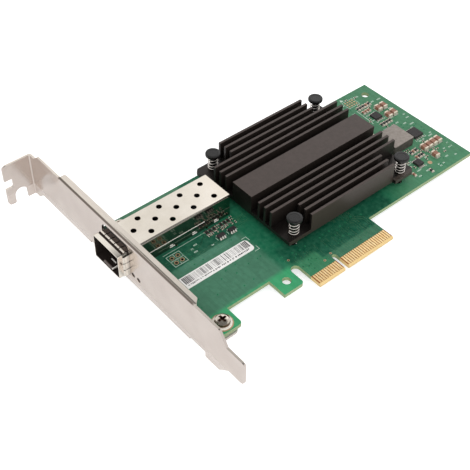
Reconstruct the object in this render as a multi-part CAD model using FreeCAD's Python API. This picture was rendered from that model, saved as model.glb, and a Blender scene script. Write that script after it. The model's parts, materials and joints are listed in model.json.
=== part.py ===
import FreeCAD
import Part
import math
import os

# A network interface card: one pluggable-module port, a finned heatsink over the
# controller, a short PCI Express edge connector and a full-height mounting bracket.
#
# Millimetres. The origin lies on the card-edge line, at the middle of the key notch, on
# the component face of the board. +X runs from the bracket to the tail of the board,
# +Y from the edge connector to the opposite edge, and +Z out of the component face.

# ---------------------------------------------------------------- driving dimensions

# Flat sides that stand for a circle, on small holes and shanks and on pin and screw heads
SMALL_SIDE_COUNT = 14
HEAD_SIDE_COUNT = 28

# Board
BOARD_THICKNESS = 1.57
BOARD_HEIGHT = 68.9          # card edge to the opposite edge
BOARD_STEP = 12.1            # card edge to the board's lower edge beside the connector
TAIL_STRIP = 28.75           # heatsink to the tail edge
FOOT_TAB_BOTTOM = 4.27       # lower ends of the screw tab and the hooked tab
SCREW_TAB_WIDTH = 14.25
HOOK_TAB_WIDTH = 8.8
HOOK_SLOT_WIDTH = 3.5        # between the hooked tab and the short tongue
TAB_CORNER_R = 1.2
TOOLING_HOLE_R = 1.6         # the holes in the hooked tab and at the tail
HOOK_HOLE_INSET = (4.1, 4.3)     # from the hooked tab's tongue side and lower end
TAIL_HOLE_INSET = (4.85, 5.1)    # from the tail and the opposite edge

# Edge connector
PAD_PITCH = 1.0
PAD_WIDTH = 0.7
PAD_INNER_END = 4.6
PAD_OUTER_END = 0.7
PAD_THICKNESS = 0.05
KEY_WIDTH = 1.9
KEY_DEPTH = 7.4
SHORT_TONGUE_PADS = 11
LONG_TONGUE_PADS = 21
TONGUE_MARGIN = 0.6          # beyond the first and the last pitch of each tongue
BEVEL_LENGTH = 0.65
BEVEL_DEPTH = 0.3

# Bracket
SHEET = 0.86
BRACKET_FACE_X = -58.5       # outer face
BRACKET_TOP_Z = 14.66        # component-side edge of the face
BRACKET_WIDTH = 18.42
BRACKET_TAB_Y = 105.75       # underside of the screw tab
TAB_REACH = 11.43            # screw tab, from the bracket's outer face
TAB_LOW_Z = -6.4
TAB_WIDTH = 18.6
SHOULDER_START = 5.2         # the face widens to the tab between these distances from it
SHOULDER_END = 2.4
SHOULDER_R = 0.8
TAB_TIP_R = 1.65             # on the component side
TAB_LOW_TIP_R = 1.5
TAB_NOTCH_R = 0.6
TONGUE_TIP_Y = -14.25
TONGUE_LOW_Z = -1.0
TONGUE_WIDTH = 10.19
TONGUE_LOW_R = 1.9
TONGUE_HIGH_R = 1.2
TONGUE_LENGTH = 7.4          # tip to where the face widens on the solder side
LOWER_SLOPE = 4.6
UPPER_SLOPE = (0.8, 4.4)     # where the component side widens, past the tongue
HEEL_DROP = 1.3              # the heel stands this far below the face's lower edge
HEEL_LENGTH = 7.5
HEEL_NOTCH = (1.9, 1.1)      # length and height
SCREW_NOTCH_X = 5.65         # middle of the open screw notch, from the bracket's outer face
SCREW_NOTCH_WIDTH = 5.2
SCREW_NOTCH_TOP_Z = -0.5
PEG_NOTCH_Z = 3.4            # middle of the small notch in the tab's outer edge
PEG_NOTCH_WIDTH = 3.8
PEG_NOTCH_DEPTH = 3.2
FLANGE_START_Y = 10.0
FLANGE_END_Y = 86.0
FLANGE_REACH = 3.0           # from the bracket's outer face
FLANGE_TAPER = 1.6
FLANGE_CORNER_R = 1.0
FOOT_WIDTH = 8.0
FOOT_PAST_SCREW = 3.9
FOOT_CORNER_R = 1.5
BEND_R = 0.5                 # inner radius of the bends
BOARD_TO_BRACKET = 0.3

# Bracket screws
SCREW_TO_BRACKET = 9.14      # screw to the board's bracket end
LOWER_SCREW_INSET = 4.13     # from the screw tab's lower end
UPPER_SCREW_INSET = 4.5      # from the board's opposite edge
SCREW_R = 1.42
SCREW_FLANGE_R = 3.3
SCREW_FLANGE_T = 0.5
SCREW_HEAD_R = 2.7
SCREW_HEAD_H = 1.1
SCREW_CROWN_H = 0.6
SCREW_CROWN_R = 1.7
RECESS_LENGTH = 3.2
RECESS_WIDTH = 0.8
RECESS_DEPTH = 1.0
SCREW_TIP = 1.0              # thread past the boss
THREAD_CLEARANCE = 0.08
SCREW_HOLE_R = 1.8
BOSS_R = 2.7

# Pluggable-module port
CAGE_TO_EDGE = 9.85          # cage to the board's opposite edge
CAGE_WIDTH = 14.0
CAGE_HEIGHT = 9.8
CAGE_LENGTH = 48.1
CAGE_PROUD = 4.0             # cage mouth to the bracket's outer face
CAGE_SHEET = 0.25
CAGE_BEND_R = 0.6
CAGE_SEAM_Z = 3.9            # where the cover's sides end and the base's begin
CAGE_SEAM_GAP = 0.1
CAGE_FLOOR_LENGTH = 31.0
VENT_R = 1.05
VENT_STEP = 4.55             # from a middle vent to the pair beside it
VENT_ROW = 3.95
VENT_START = 11.6            # cage mouth to the first vent
VENT_END = 4.0
LATCH_WIDTH = 5.0
LATCH_LENGTH = 9.0
LATCH_RISE = 0.5
CAGE_PIN_PAIRS = 3
CAGE_PIN_INSET = 10.5        # from the mouth and from the back
CAGE_PIN_WIDTH = 0.7
CAGE_PIN_LENGTH = 0.8        # below the board
CAGE_PIN_HOLE_R = 0.55
COLLAR_SHEET = 0.2
COLLAR_BAND = 1.8
COLLAR_TO_BOARD = 0.15
COLLAR_CORNER_R = 0.4        # tighter than the cage's, so the corners stand clear
FINGER_BULGE = 0.55
FINGER_RISE = 0.5            # along the cage, from the band to the crest
FINGER_CREST = 1.1
FINGER_SLIT = 0.45
TOP_FINGERS = 5
SIDE_FINGERS = 3
SIDE_FINGER_DROP = 1.1        # upper side finger, below the cage's top
PORT_TO_FINGERS = 0.2        # bracket cut-out, clear of the side fingers
PORT_TO_FLOOR = 0.4          # and of the lower ones
PORT_HEADROOM = 2.8          # and of the upper ones
PORT_CORNER_R = 1.3
PORT_FAR_CORNER_R = 3.0      # at the top, away from the edge connector

# Host connector inside the cage
HOST_TO_BACK = 3.8
HOST_LENGTH = 9.8
HOST_WIDTH = 11.0
HOST_HEIGHT = 6.4
HOST_SLOT_Z = (3.2, 5.0)
HOST_SLOT_WIDTH = 8.6
HOST_SLOT_DEPTH = 6.0
HOST_CONTACT_COUNT = 10
HOST_PITCH = 0.8
HOST_CONTACT_WIDTH = 0.35
HOST_CONTACT_T = 0.25
HOST_CONTACT_SETBACK = 0.5

# Status lamps behind the bracket
LAMP_TO_CAGE = 2.35          # nearer lamp's middle to the cage
LAMP_PITCH = 3.1
LAMP_Z = 0.85
LAMP_WINDOW_R = 0.95
LAMP_LENGTH = 2.0
LAMP_WIDTH = 2.2
LAMP_HEIGHT = 1.7
LAMP_SETBACK = 0.1           # from the board's bracket end
LAMP_LENS_R = 0.7
LAMP_LENS_SUNK = 0.35        # lens tip inside the bracket's outer face

# Controller, pad and heatsink
CHIP_SIZE = 25.0
CHIP_SUBSTRATE_T = 1.2
CHIP_LID_SIZE = 21.0
CHIP_LID_T = 1.4
THERMAL_PAD_SIZE = 22.0
THERMAL_PAD_T = 0.8
SINK_LENGTH = 61.0
SINK_TO_CAGE = 3.4
SINK_TO_STEP = 5.4           # heatsink to the board's lower edge
SINK_TO_EDGE = 1.4           # and to its opposite edge
SINK_BASE_T = 1.5
SINK_TOP_Z = 12.0
FIN_T = 1.0
FIN_PITCH = 3.13
FIN_GAP = 2.0                # least gap between the block and a fin
BLOCK_WIDTH = 10.1
EAR_GROWTH = 1.5             # ears round the two crowded pins
END_EAR_LENGTH = 7.5
EAR_CHAMFER = 1.3

# Push pins and springs
PIN_EDGE_X = 4.75            # pins to the heatsink's ends
PIN_EDGE_Y = 3.1             # pins to its sides
PIN_SKEW = 1.5               # the tail-side lower pin stands this much nearer the edge
PIN_TO_FIN = 2.4             # along the fins
PIN_TO_LONG_FIN = 0.8        # across them
PIN_HEAD_R = 2.85
PIN_HEAD_T = 1.2
PIN_SHANK_R = 1.15
PIN_TIP_R = 0.7
PIN_HOLE_R = 1.6
PIN_BARB_R = 1.9
PIN_BARB_LENGTH = 2.4
PIN_BARB_GAP = 0.1
PIN_SPLIT = 0.6
SPRING_R = 1.75
SPRING_WIRE_R = 0.24
SPRING_TURN_COUNT = 5
SPRING_STEP_COUNT = 8             # straight runs in each turn
SPRING_SIDE_COUNT = 4             # sides of the wire's section
SPRING_SEAT = 0.05

# Parts on the tail strip. Shares are of the strip's length and of the board's height
# above its lower edge, from the corner nearest the heatsink and the edge connector.
INDUCTOR_SHARES = (0.343, 0.399)
INDUCTOR_LENGTH = 10.6
INDUCTOR_WIDTH = 10.4
INDUCTOR_HEIGHT = 4.0
INDUCTOR_CORNER_R = 0.55
INDUCTOR_RIM = 0.15
MOSFET_SHARES = (0.711, 0.380)
MOSFET_LENGTH = 4.5
MOSFET_WIDTH = 5.0
MOSFET_HEIGHT = 1.1
MOSFET_LEAD_COUNT = 4
MOSFET_LEAD_PITCH = 1.1
REGULATOR_SHARES = (0.583, 0.682)
REGULATOR_SIZE = 3.6
REGULATOR_HEIGHT = 0.9
REGULATOR_LEAD_COUNT = 5
SUPERVISOR_SHARES = (0.288, 0.152)
SUPERVISOR_SIZE = 3.0
SUPERVISOR_HEIGHT = 1.0
SUPERVISOR_LEAD_COUNT = 4
FINE_LEAD_PITCH = 0.65
LEAD_WIDTH = 0.38
LEAD_LENGTH = 0.7
LEAD_T = 0.15
LARGE_CAP_WIDTH = 1.9
LARGE_CAP_LENGTH = 3.2
LARGE_CAP_HEIGHT = 1.5
LARGE_CAP_END = 0.7
LARGE_CAP_SHARES = [
    (0.730, 0.732), (0.828, 0.732), (0.730, 0.634), (0.828, 0.634),
    (0.581, 0.233), (0.670, 0.233), (0.758, 0.233), (0.847, 0.233), (0.588, 0.137),
]

# Small chip parts
CHIP_PART_WIDTH = 0.9
CHIP_PART_LENGTH = 1.8
CHIP_PART_HEIGHT = 0.55
CHIP_PART_SHARES = [
    (0.369, 0.255), (0.421, 0.255), (0.473, 0.255), (0.369, 0.199), (0.421, 0.199), (0.473, 0.199),
    (0.518, 0.590), (0.570, 0.590), (0.622, 0.590), (0.674, 0.590),
    (0.508, 0.819), (0.560, 0.819), (0.612, 0.819), (0.664, 0.819), (0.716, 0.819),
    (0.508, 0.766), (0.560, 0.766), (0.612, 0.766),
    (0.083, 0.093), (0.320, 0.049), (0.257, 0.563),
]
CHIP_PARTS_TO_CAGE = 2.15
CHIP_PARTS_TO_BACK = (12.2, 10.6, 9.0, 5.8, 4.2, 2.6)    # from the cage's back end

# Small-outline packages beside the cage
SOT_LENGTH = 2.9
SOT_WIDTH = 1.5
SOT_HEIGHT = 1.0
SOT_TO_CAGE = 6.6
SOT_TO_BACK = (9.4, 4.5)
SOT_LEAD_COUNT = 3
SOT_LEAD_PITCH = 0.95
SOT_LEAD_RUN = 0.6

# Unfilled header, bare pads and label
HEADER_TO_CAGE = 5.25
HEADER_TO_BRACKET = 15.14
HEADER_PITCH = 2.54
HEADER_HOLE_R = 0.5
PLATE_T = 0.05
TEST_PAD_SHARES = (0.428, 0.111)
TEST_PAD_R = 0.9
FOOTPRINT_SHARES = (0.529, 0.903)
FOOTPRINT_STEP = 1.3
FOOTPRINT_COLUMN_COUNT = 4
FOOTPRINT_ROW_COUNT = 3
FOOTPRINT_PAD = 0.75
LABEL_TO_BRACKET = 9.64
LABEL_TO_CAGE = 13.05
LABEL_LENGTH = 29.5
LABEL_WIDTH = 5.5
LABEL_T = 0.1
LABEL_CORNER_R = 1.4

# Solder side
FLASH_SHARES = (0.35, 0.49)
FLASH_LENGTH = 4.9
FLASH_WIDTH = 3.9
FLASH_HEIGHT = 1.5
CRYSTAL_TO_CHIP = (21.5, 15.5)
CRYSTAL_LENGTH = 3.2
CRYSTAL_WIDTH = 2.5
CRYSTAL_HEIGHT = 0.8
DECOUPLING_COLUMNS = 4
DECOUPLING_ROWS = 3
DECOUPLING_STEP_X = 5.0
DECOUPLING_STEP_Y = 5.6

# ---------------------------------------------------------------- derived places

BRACKET_INNER_X = BRACKET_FACE_X + SHEET
BRACKET_LOW_Z = BRACKET_TOP_Z - BRACKET_WIDTH
FOOT_TOP_Z = BRACKET_LOW_Z + SHEET
BOARD_LEFT = BRACKET_INNER_X + BOARD_TO_BRACKET
TONGUE_LEFT = -(KEY_WIDTH / 2 + TONGUE_MARGIN + SHORT_TONGUE_PADS * PAD_PITCH)
TONGUE_RIGHT = KEY_WIDTH / 2 + TONGUE_MARGIN + LONG_TONGUE_PADS * PAD_PITCH
HOOK_TAB_RIGHT = TONGUE_LEFT - HOOK_SLOT_WIDTH
HOOK_TAB_LEFT = HOOK_TAB_RIGHT - HOOK_TAB_WIDTH
SCREW_TAB_RIGHT = BOARD_LEFT + SCREW_TAB_WIDTH

CAGE_FRONT_X = BRACKET_FACE_X - CAGE_PROUD
CAGE_BACK_X = CAGE_FRONT_X + CAGE_LENGTH
CAGE_HIGH_Y = BOARD_HEIGHT - CAGE_TO_EDGE
CAGE_LOW_Y = CAGE_HIGH_Y - CAGE_WIDTH
CAGE_Y = (CAGE_LOW_Y + CAGE_HIGH_Y) / 2
HOST_BACK_X = CAGE_BACK_X - HOST_TO_BACK
HOST_FRONT_X = HOST_BACK_X - HOST_LENGTH
LAMP_YS = [CAGE_LOW_Y - LAMP_TO_CAGE - LAMP_PITCH, CAGE_LOW_Y - LAMP_TO_CAGE]

SINK_LEFT = CAGE_BACK_X + SINK_TO_CAGE
SINK_RIGHT = SINK_LEFT + SINK_LENGTH
SINK_LOW_Y = BOARD_STEP + SINK_TO_STEP
SINK_HIGH_Y = BOARD_HEIGHT - SINK_TO_EDGE
SINK_WIDTH = SINK_HIGH_Y - SINK_LOW_Y
BOARD_TAIL = SINK_RIGHT + TAIL_STRIP
CHIP = ((SINK_LEFT + SINK_RIGHT) / 2, (SINK_LOW_Y + SINK_HIGH_Y) / 2)
CHIP_TOP_Z = CHIP_SUBSTRATE_T + CHIP_LID_T
SINK_LOW_Z = CHIP_TOP_Z + THERMAL_PAD_T
SINK_BASE_Z = SINK_LOW_Z + SINK_BASE_T
PIN_HEAD_LOW_Z = SINK_TOP_Z - PIN_HEAD_T
PIN_PLACES = [
    (SINK_LEFT + PIN_EDGE_X, SINK_LOW_Y + PIN_EDGE_Y),
    (SINK_LEFT + PIN_EDGE_X, SINK_HIGH_Y - PIN_EDGE_Y),
    (SINK_RIGHT - PIN_EDGE_X, SINK_HIGH_Y - PIN_EDGE_Y),
    (SINK_RIGHT - PIN_EDGE_X, SINK_LOW_Y + PIN_EDGE_Y - PIN_SKEW),
]
SIDE_EAR_LENGTH = PIN_EDGE_X + PIN_HEAD_R + PIN_TO_FIN
SHORT_FIN_LENGTH = SINK_LENGTH - 2 * SIDE_EAR_LENGTH

SCREW_PLACES = [
    (BOARD_LEFT + SCREW_TO_BRACKET, FOOT_TAB_BOTTOM + LOWER_SCREW_INSET),
    (BOARD_LEFT + SCREW_TO_BRACKET, BOARD_HEIGHT - UPPER_SCREW_INSET),
]
HOOK_HOLE = (HOOK_TAB_RIGHT - HOOK_HOLE_INSET[0], FOOT_TAB_BOTTOM + HOOK_HOLE_INSET[1])
TAIL_HOLE = (BOARD_TAIL - TAIL_HOLE_INSET[0], BOARD_HEIGHT - TAIL_HOLE_INSET[1])
HEADER_CENTRE = (BOARD_LEFT + HEADER_TO_BRACKET, CAGE_LOW_Y - HEADER_TO_CAGE)


def on_tail(shares):
    """A place on the tail strip, from its shares of the strip's two sides."""
    x = SINK_RIGHT + shares[0] * TAIL_STRIP
    y = BOARD_STEP + shares[1] * (BOARD_HEIGHT - BOARD_STEP)
    return (x, y)


# ---------------------------------------------------------------- helpers


def vector(x, y, z):
    return FreeCAD.Vector(x, y, z)


def box(x0, x1, y0, y1, z0, z1):
    """A block between two corners."""
    return Part.makeBox(x1 - x0, y1 - y0, z1 - z0, vector(x0, y0, z0))


def centred_box(centre, size, z0):
    """A block of size (x, y, z) standing on z0 over a point of the board."""
    x, y = centre
    return box(x - size[0] / 2, x + size[0] / 2, y - size[1] / 2, y + size[1] / 2, z0, z0 + size[2])


def post(place, radius, z0, z1):
    """An upright cylinder over a point of the board."""
    return Part.makeCylinder(radius, z1 - z0, vector(place[0], place[1], z0))


def faceted(profile, place, side_count):
    """An upright body with flat sides; profile is a list of (r, z) from the bottom up."""
    rings = []
    for r, z in profile:
        angles = [2 * math.pi * (i + 0.5) / side_count for i in range(side_count)]
        points = [vector(place[0] + r * math.cos(a), place[1] + r * math.sin(a), z) for a in angles]
        rings.append(Part.makePolygon(points + points[:1]))
    return Part.makeLoft(rings, True, True)


def small_post(place, radius, z0, z1):
    """A post too small to need a true cylinder."""
    return faceted([(radius, z0), (radius, z1)], place, SMALL_SIDE_COUNT)


def rounded_wire(corners, to_space):
    """A closed wire through corners (u, v, radius), with tangent arcs at the rounded ones."""
    count = len(corners)
    runs = []
    for i, (u, v, radius) in enumerate(corners):
        before = corners[i - 1]
        after = corners[(i + 1) % count]
        a = FreeCAD.Vector(before[0] - u, before[1] - v, 0).normalize()
        b = FreeCAD.Vector(after[0] - u, after[1] - v, 0).normalize()
        here = FreeCAD.Vector(u, v, 0)
        if radius <= 0:
            runs.append((here, None, here))
            continue
        half = a.getAngle(b) / 2
        middle = (a + b).normalize()
        start = here + a * (radius / math.tan(half))
        end = here + b * (radius / math.tan(half))
        top = here + middle * (radius / math.sin(half) - radius)
        runs.append((start, top, end))
    edges = []
    for i, (start, top, end) in enumerate(runs):
        if top is not None:
            arc = Part.Arc(to_space(start.x, start.y), to_space(top.x, top.y), to_space(end.x, end.y))
            edges.append(arc.toShape())
        following = runs[(i + 1) % count][0]
        if end.distanceToPoint(following) > 1e-6:
            edges.append(Part.makeLine(to_space(end.x, end.y), to_space(following.x, following.y)))
    return Part.Wire(edges)


def plate_xy(corners, z0, z1):
    face = Part.Face(rounded_wire(corners, lambda u, v: vector(u, v, z0)))
    return face.extrude(vector(0, 0, z1 - z0))


def plate_yz(corners, x0, x1):
    face = Part.Face(rounded_wire(corners, lambda u, v: vector(x0, u, v)))
    return face.extrude(vector(x1 - x0, 0, 0))


def plate_xz(corners, y0, y1):
    face = Part.Face(rounded_wire(corners, lambda u, v: vector(u, y0, v)))
    return face.extrude(vector(0, y1 - y0, 0))


def fused(shapes):
    first = shapes[0]
    if len(shapes) == 1:
        return first
    return first.multiFuse(shapes[1:]).removeSplitter()


def group(shapes):
    """Separate solids that share one node."""
    return Part.makeCompound(shapes)


# ---------------------------------------------------------------- board


def board_outline():
    """Corners of the board, from the screw tab round by the card edge."""
    slot_r = HOOK_SLOT_WIDTH / 2 - 1e-3
    notch_r = KEY_WIDTH / 2 - 1e-3
    return [
        (BOARD_LEFT, FOOT_TAB_BOTTOM, 0),
        (SCREW_TAB_RIGHT, FOOT_TAB_BOTTOM, TAB_CORNER_R),
        (SCREW_TAB_RIGHT, BOARD_STEP, 0),
        (HOOK_TAB_LEFT, BOARD_STEP, 0),
        (HOOK_TAB_LEFT, FOOT_TAB_BOTTOM, 0),
        (HOOK_TAB_RIGHT, FOOT_TAB_BOTTOM, TAB_CORNER_R),
        (HOOK_TAB_RIGHT, BOARD_STEP, slot_r),
        (TONGUE_LEFT, BOARD_STEP, slot_r),
        (TONGUE_LEFT, 0, 0),
        (-KEY_WIDTH / 2, 0, 0),
        (-KEY_WIDTH / 2, KEY_DEPTH, notch_r),
        (KEY_WIDTH / 2, KEY_DEPTH, notch_r),
        (KEY_WIDTH / 2, 0, 0),
        (TONGUE_RIGHT, 0, 0),
        (TONGUE_RIGHT, BOARD_STEP, 0),
        (BOARD_TAIL, BOARD_STEP, 0),
        (BOARD_TAIL, BOARD_HEIGHT, 0),
        (BOARD_LEFT, BOARD_HEIGHT, 0),
    ]


def header_places():
    half = HEADER_PITCH / 2
    x, y = HEADER_CENTRE
    return [(x + i * half, y + j * half) for i in (-1, 1) for j in (-1, 1)]


def cage_pin_places():
    inset = CAGE_SHEET / 2
    first = CAGE_FRONT_X + CAGE_PIN_INSET
    step = (CAGE_LENGTH - 2 * CAGE_PIN_INSET) / (CAGE_PIN_PAIRS - 1)
    xs = [first + i * step for i in range(CAGE_PIN_PAIRS)]
    return [(x, y) for x in xs for y in (CAGE_LOW_Y + inset, CAGE_HIGH_Y - inset)]


def circuit_board():
    board = plate_xy(board_outline(), -BOARD_THICKNESS, 0)
    for face_z, inward in ((0, -BEVEL_DEPTH), (-BOARD_THICKNESS, BEVEL_DEPTH)):
        corners = [(0, face_z), (BEVEL_LENGTH, face_z), (0, face_z + inward)]
        points = [vector(TONGUE_LEFT, y, z) for y, z in corners]
        wedge = Part.Face(Part.makePolygon(points + points[:1]))
        board = board.cut(wedge.extrude(vector(TONGUE_RIGHT - TONGUE_LEFT, 0, 0)))
    holes = [(place, PIN_HOLE_R) for place in PIN_PLACES]
    holes += [(place, SCREW_HOLE_R) for place in SCREW_PLACES]
    holes += [(HOOK_HOLE, TOOLING_HOLE_R), (TAIL_HOLE, TOOLING_HOLE_R)]
    small = [(place, HEADER_HOLE_R) for place in header_places()]
    small += [(place, CAGE_PIN_HOLE_R) for place in cage_pin_places()]
    drills = [post(place, radius, -BOARD_THICKNESS, 0) for place, radius in holes]
    drills += [small_post(place, radius, -BOARD_THICKNESS, 0) for place, radius in small]
    return board.cut(Part.makeCompound(drills))


def edge_contacts(z0):
    """The gold pads of one side, as thin plates on the board's face."""
    first = KEY_WIDTH / 2 + TONGUE_MARGIN / 2 + PAD_PITCH / 2
    xs = [-(first + i * PAD_PITCH) for i in range(SHORT_TONGUE_PADS)]
    xs += [first + i * PAD_PITCH for i in range(LONG_TONGUE_PADS)]
    half = PAD_WIDTH / 2
    return group([box(x - half, x + half, PAD_OUTER_END, PAD_INNER_END, z0, z0 + PAD_THICKNESS) for x in xs])


# ---------------------------------------------------------------- bracket


def bracket_face():
    """The flat of the bracket, with the lower tongue and the flare to the tab."""
    root = BRACKET_TAB_Y - BEND_R
    tab_top = TAB_LOW_Z + TAB_WIDTH
    tongue_top = TONGUE_LOW_Z + TONGUE_WIDTH
    widening = TONGUE_TIP_Y + TONGUE_LENGTH
    heel = widening + LOWER_SLOPE
    heel_end = heel + HEEL_LENGTH
    heel_z = BRACKET_LOW_Z - HEEL_DROP
    return [
        (TONGUE_TIP_Y, TONGUE_LOW_Z, TONGUE_LOW_R),
        (widening, TONGUE_LOW_Z, 0),
        (heel, heel_z, 0),
        (heel_end, heel_z, 0),
        (heel_end, BRACKET_LOW_Z + HEEL_NOTCH[1], 0),
        (heel_end + HEEL_NOTCH[0], BRACKET_LOW_Z, 0),
        (root - SHOULDER_START, BRACKET_LOW_Z, 0),
        (root - SHOULDER_END, TAB_LOW_Z, 0),
        (root, TAB_LOW_Z, 0),
        (root, tab_top, 0),
        (root - SHOULDER_END, tab_top, 0),
        (root - SHOULDER_START, BRACKET_TOP_Z, SHOULDER_R),
        (widening + UPPER_SLOPE[1], BRACKET_TOP_Z, SHOULDER_R),
        (widening + UPPER_SLOPE[0], tongue_top, 0),
        (TONGUE_TIP_Y, tongue_top, TONGUE_HIGH_R),
    ]


def quarter_bend(centre_u, centre_v, start, to_space, sweep):
    """A quarter ring of sheet round a bend; start is the angle where it begins."""
    angles = [math.radians(start + step) for step in (0, 45, 90)]
    inner, outer = [
        [to_space(centre_u + r * math.cos(a), centre_v + r * math.sin(a)) for a in angles]
        for r in (BEND_R, BEND_R + SHEET)
    ]
    edges = [Part.Arc(*inner).toShape(), Part.makeLine(inner[2], outer[2])]
    edges += [Part.Arc(*outer).toShape(), Part.makeLine(outer[0], inner[0])]
    return Part.Face(Part.Wire(Part.__sortEdges__(edges))).extrude(sweep)


def screw_tab():
    """The top tab, bent outward, with the open screw notch and the peg notch."""
    tip = BRACKET_FACE_X - TAB_REACH
    root = BRACKET_FACE_X - BEND_R
    low = TAB_LOW_Z
    high = TAB_LOW_Z + TAB_WIDTH
    notch_r = SCREW_NOTCH_WIDTH / 2
    left = BRACKET_FACE_X - SCREW_NOTCH_X - notch_r
    right = BRACKET_FACE_X - SCREW_NOTCH_X + notch_r
    peg = PEG_NOTCH_WIDTH / 2
    corners = [
        (root, low, 0),
        (root, high, 0),
        (tip, high, TAB_TIP_R),
        (tip, PEG_NOTCH_Z + peg, 0),
        (tip + PEG_NOTCH_DEPTH, PEG_NOTCH_Z + peg, TAB_NOTCH_R),
        (tip + PEG_NOTCH_DEPTH, PEG_NOTCH_Z - peg, TAB_NOTCH_R),
        (tip, PEG_NOTCH_Z - peg, 0),
        (tip, low, TAB_LOW_TIP_R),
        (left, low, TAB_NOTCH_R),
        (left, SCREW_NOTCH_TOP_Z, notch_r - 1e-3),
        (right, SCREW_NOTCH_TOP_Z, notch_r - 1e-3),
        (right, low, 0),
    ]
    tab = plate_xz(corners, BRACKET_TAB_Y, BRACKET_TAB_Y + SHEET)
    bend = quarter_bend(
        root, BRACKET_TAB_Y - BEND_R, 0, lambda u, v: vector(u, v, low), vector(0, 0, high - low)
    )
    return [tab, bend]


def stiffening_flange():
    """The long lip along the component-side edge, bent inward."""
    low = BRACKET_TOP_Z - SHEET
    root = BRACKET_INNER_X + BEND_R
    edge = BRACKET_FACE_X + FLANGE_REACH
    corners = [
        (root, FLANGE_START_Y, 0),
        (edge, FLANGE_START_Y + FLANGE_TAPER, 0),
        (edge, FLANGE_END_Y, FLANGE_CORNER_R),
        (root, FLANGE_END_Y, 0),
    ]
    lip = plate_xy(corners, low, BRACKET_TOP_Z)
    sweep = vector(0, FLANGE_END_Y - FLANGE_START_Y, 0)
    bend = quarter_bend(root, low - BEND_R, 90, lambda u, v: vector(u, FLANGE_START_Y, v), sweep)
    return [lip, bend]


def foot(place):
    """A foot bent in under the board, with a drawn boss tapped for the screw."""
    x, y = place
    half = FOOT_WIDTH / 2
    root = BRACKET_INNER_X + BEND_R
    end = x + FOOT_PAST_SCREW
    r = FOOT_CORNER_R
    corners = [(root, y - half, 0), (end, y - half, r), (end, y + half, r), (root, y + half, 0)]
    plate = plate_xy(corners, BRACKET_LOW_Z, FOOT_TOP_Z)
    sweep = vector(0, FOOT_WIDTH, 0)
    bend = quarter_bend(root, FOOT_TOP_Z + BEND_R, 180, lambda u, v: vector(u, y - half, v), sweep)
    boss = post(place, BOSS_R, FOOT_TOP_Z, -BOARD_THICKNESS)
    return [plate, bend, boss]


def port_window():
    """The bracket's opening round the cage and its spring collar."""
    side = FINGER_BULGE + PORT_TO_FINGERS
    left, right = CAGE_LOW_Y - side, CAGE_HIGH_Y + side
    low = -FINGER_BULGE - PORT_TO_FLOOR
    high = CAGE_HEIGHT + FINGER_BULGE + PORT_HEADROOM
    r = PORT_CORNER_R
    return [(left, low, r), (right, low, r), (right, high, PORT_FAR_CORNER_R), (left, high, r)]


def bracket():
    face = plate_yz(bracket_face(), BRACKET_FACE_X, BRACKET_INNER_X)
    bend_z = BRACKET_TOP_Z - SHEET - BEND_R
    strip = box(BRACKET_FACE_X, BRACKET_INNER_X, FLANGE_START_Y, FLANGE_END_Y, bend_z, BRACKET_TOP_Z)
    face = face.cut(strip)
    for _, y in SCREW_PLACES:
        half = FOOT_WIDTH / 2
        low = BRACKET_LOW_Z - HEEL_DROP
        high = FOOT_TOP_Z + BEND_R
        face = face.cut(box(BRACKET_FACE_X, BRACKET_INNER_X, y - half, y + half, low, high))
    pieces = [face] + screw_tab() + stiffening_flange()
    for place in SCREW_PLACES:
        pieces += foot(place)
    sheet = fused(pieces)
    sheet = sheet.cut(plate_yz(port_window(), BRACKET_FACE_X, BRACKET_INNER_X))
    for y in LAMP_YS:
        window = Part.makeCylinder(LAMP_WINDOW_R, SHEET, vector(BRACKET_FACE_X, y, LAMP_Z), vector(1, 0, 0))
        sheet = sheet.cut(window)
    for place in SCREW_PLACES:
        sheet = sheet.cut(post(place, SCREW_R + THREAD_CLEARANCE, BRACKET_LOW_Z, -BOARD_THICKNESS))
    return sheet


def bracket_screw(place):
    """A washer-head screw with a cross recess."""
    tip = BRACKET_LOW_Z - SCREW_TIP
    shoulder = SCREW_FLANGE_T + SCREW_HEAD_H
    crown = shoulder + SCREW_CROWN_H
    thread = small_post(place, SCREW_R, tip, 0)
    flange = faceted([(SCREW_FLANGE_R, 0), (SCREW_FLANGE_R, SCREW_FLANGE_T)], place, HEAD_SIDE_COUNT)
    rings = [(SCREW_HEAD_R, SCREW_FLANGE_T), (SCREW_HEAD_R, shoulder), (SCREW_CROWN_R, crown)]
    screw = fused([thread, flange, faceted(rings, place, HEAD_SIDE_COUNT)])
    length, width, depth = RECESS_LENGTH, RECESS_WIDTH, RECESS_DEPTH
    for size in ((length, width, depth), (width, length, depth)):
        screw = screw.cut(centred_box(place, size, crown - depth))
    return screw


# ---------------------------------------------------------------- pluggable-module port


def cage_walls(z0, z1):
    """The cage's folded walls between two heights."""
    low, high = CAGE_LOW_Y, CAGE_HIGH_Y
    tall = CAGE_HEIGHT
    t = CAGE_SHEET
    r = CAGE_BEND_R
    x0, x1 = CAGE_FRONT_X, CAGE_BACK_X
    outer = [(low, 0, 0), (high, 0, 0), (high, tall, r), (low, tall, r)]
    inner = [(low + t, -t, 0), (high - t, -t, 0), (high - t, tall - t, r - t), (low + t, tall - t, r - t)]
    walls = plate_yz(outer, x0, x1).cut(plate_yz(inner, x0, x1))
    return walls.common(box(x0, x1, low, high, z0, z1))


def vent_places():
    """A staggered lattice of round vents: one in the middle, then a pair, in turn."""
    columns = int((CAGE_LENGTH - VENT_START - VENT_END) / VENT_STEP) + 1
    places = []
    for i in range(columns):
        x = CAGE_FRONT_X + VENT_START + i * VENT_STEP
        offsets = (0,) if i % 2 == 0 else (-VENT_ROW, VENT_ROW)
        places += [(x, CAGE_Y + offset) for offset in offsets]
    return places


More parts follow.
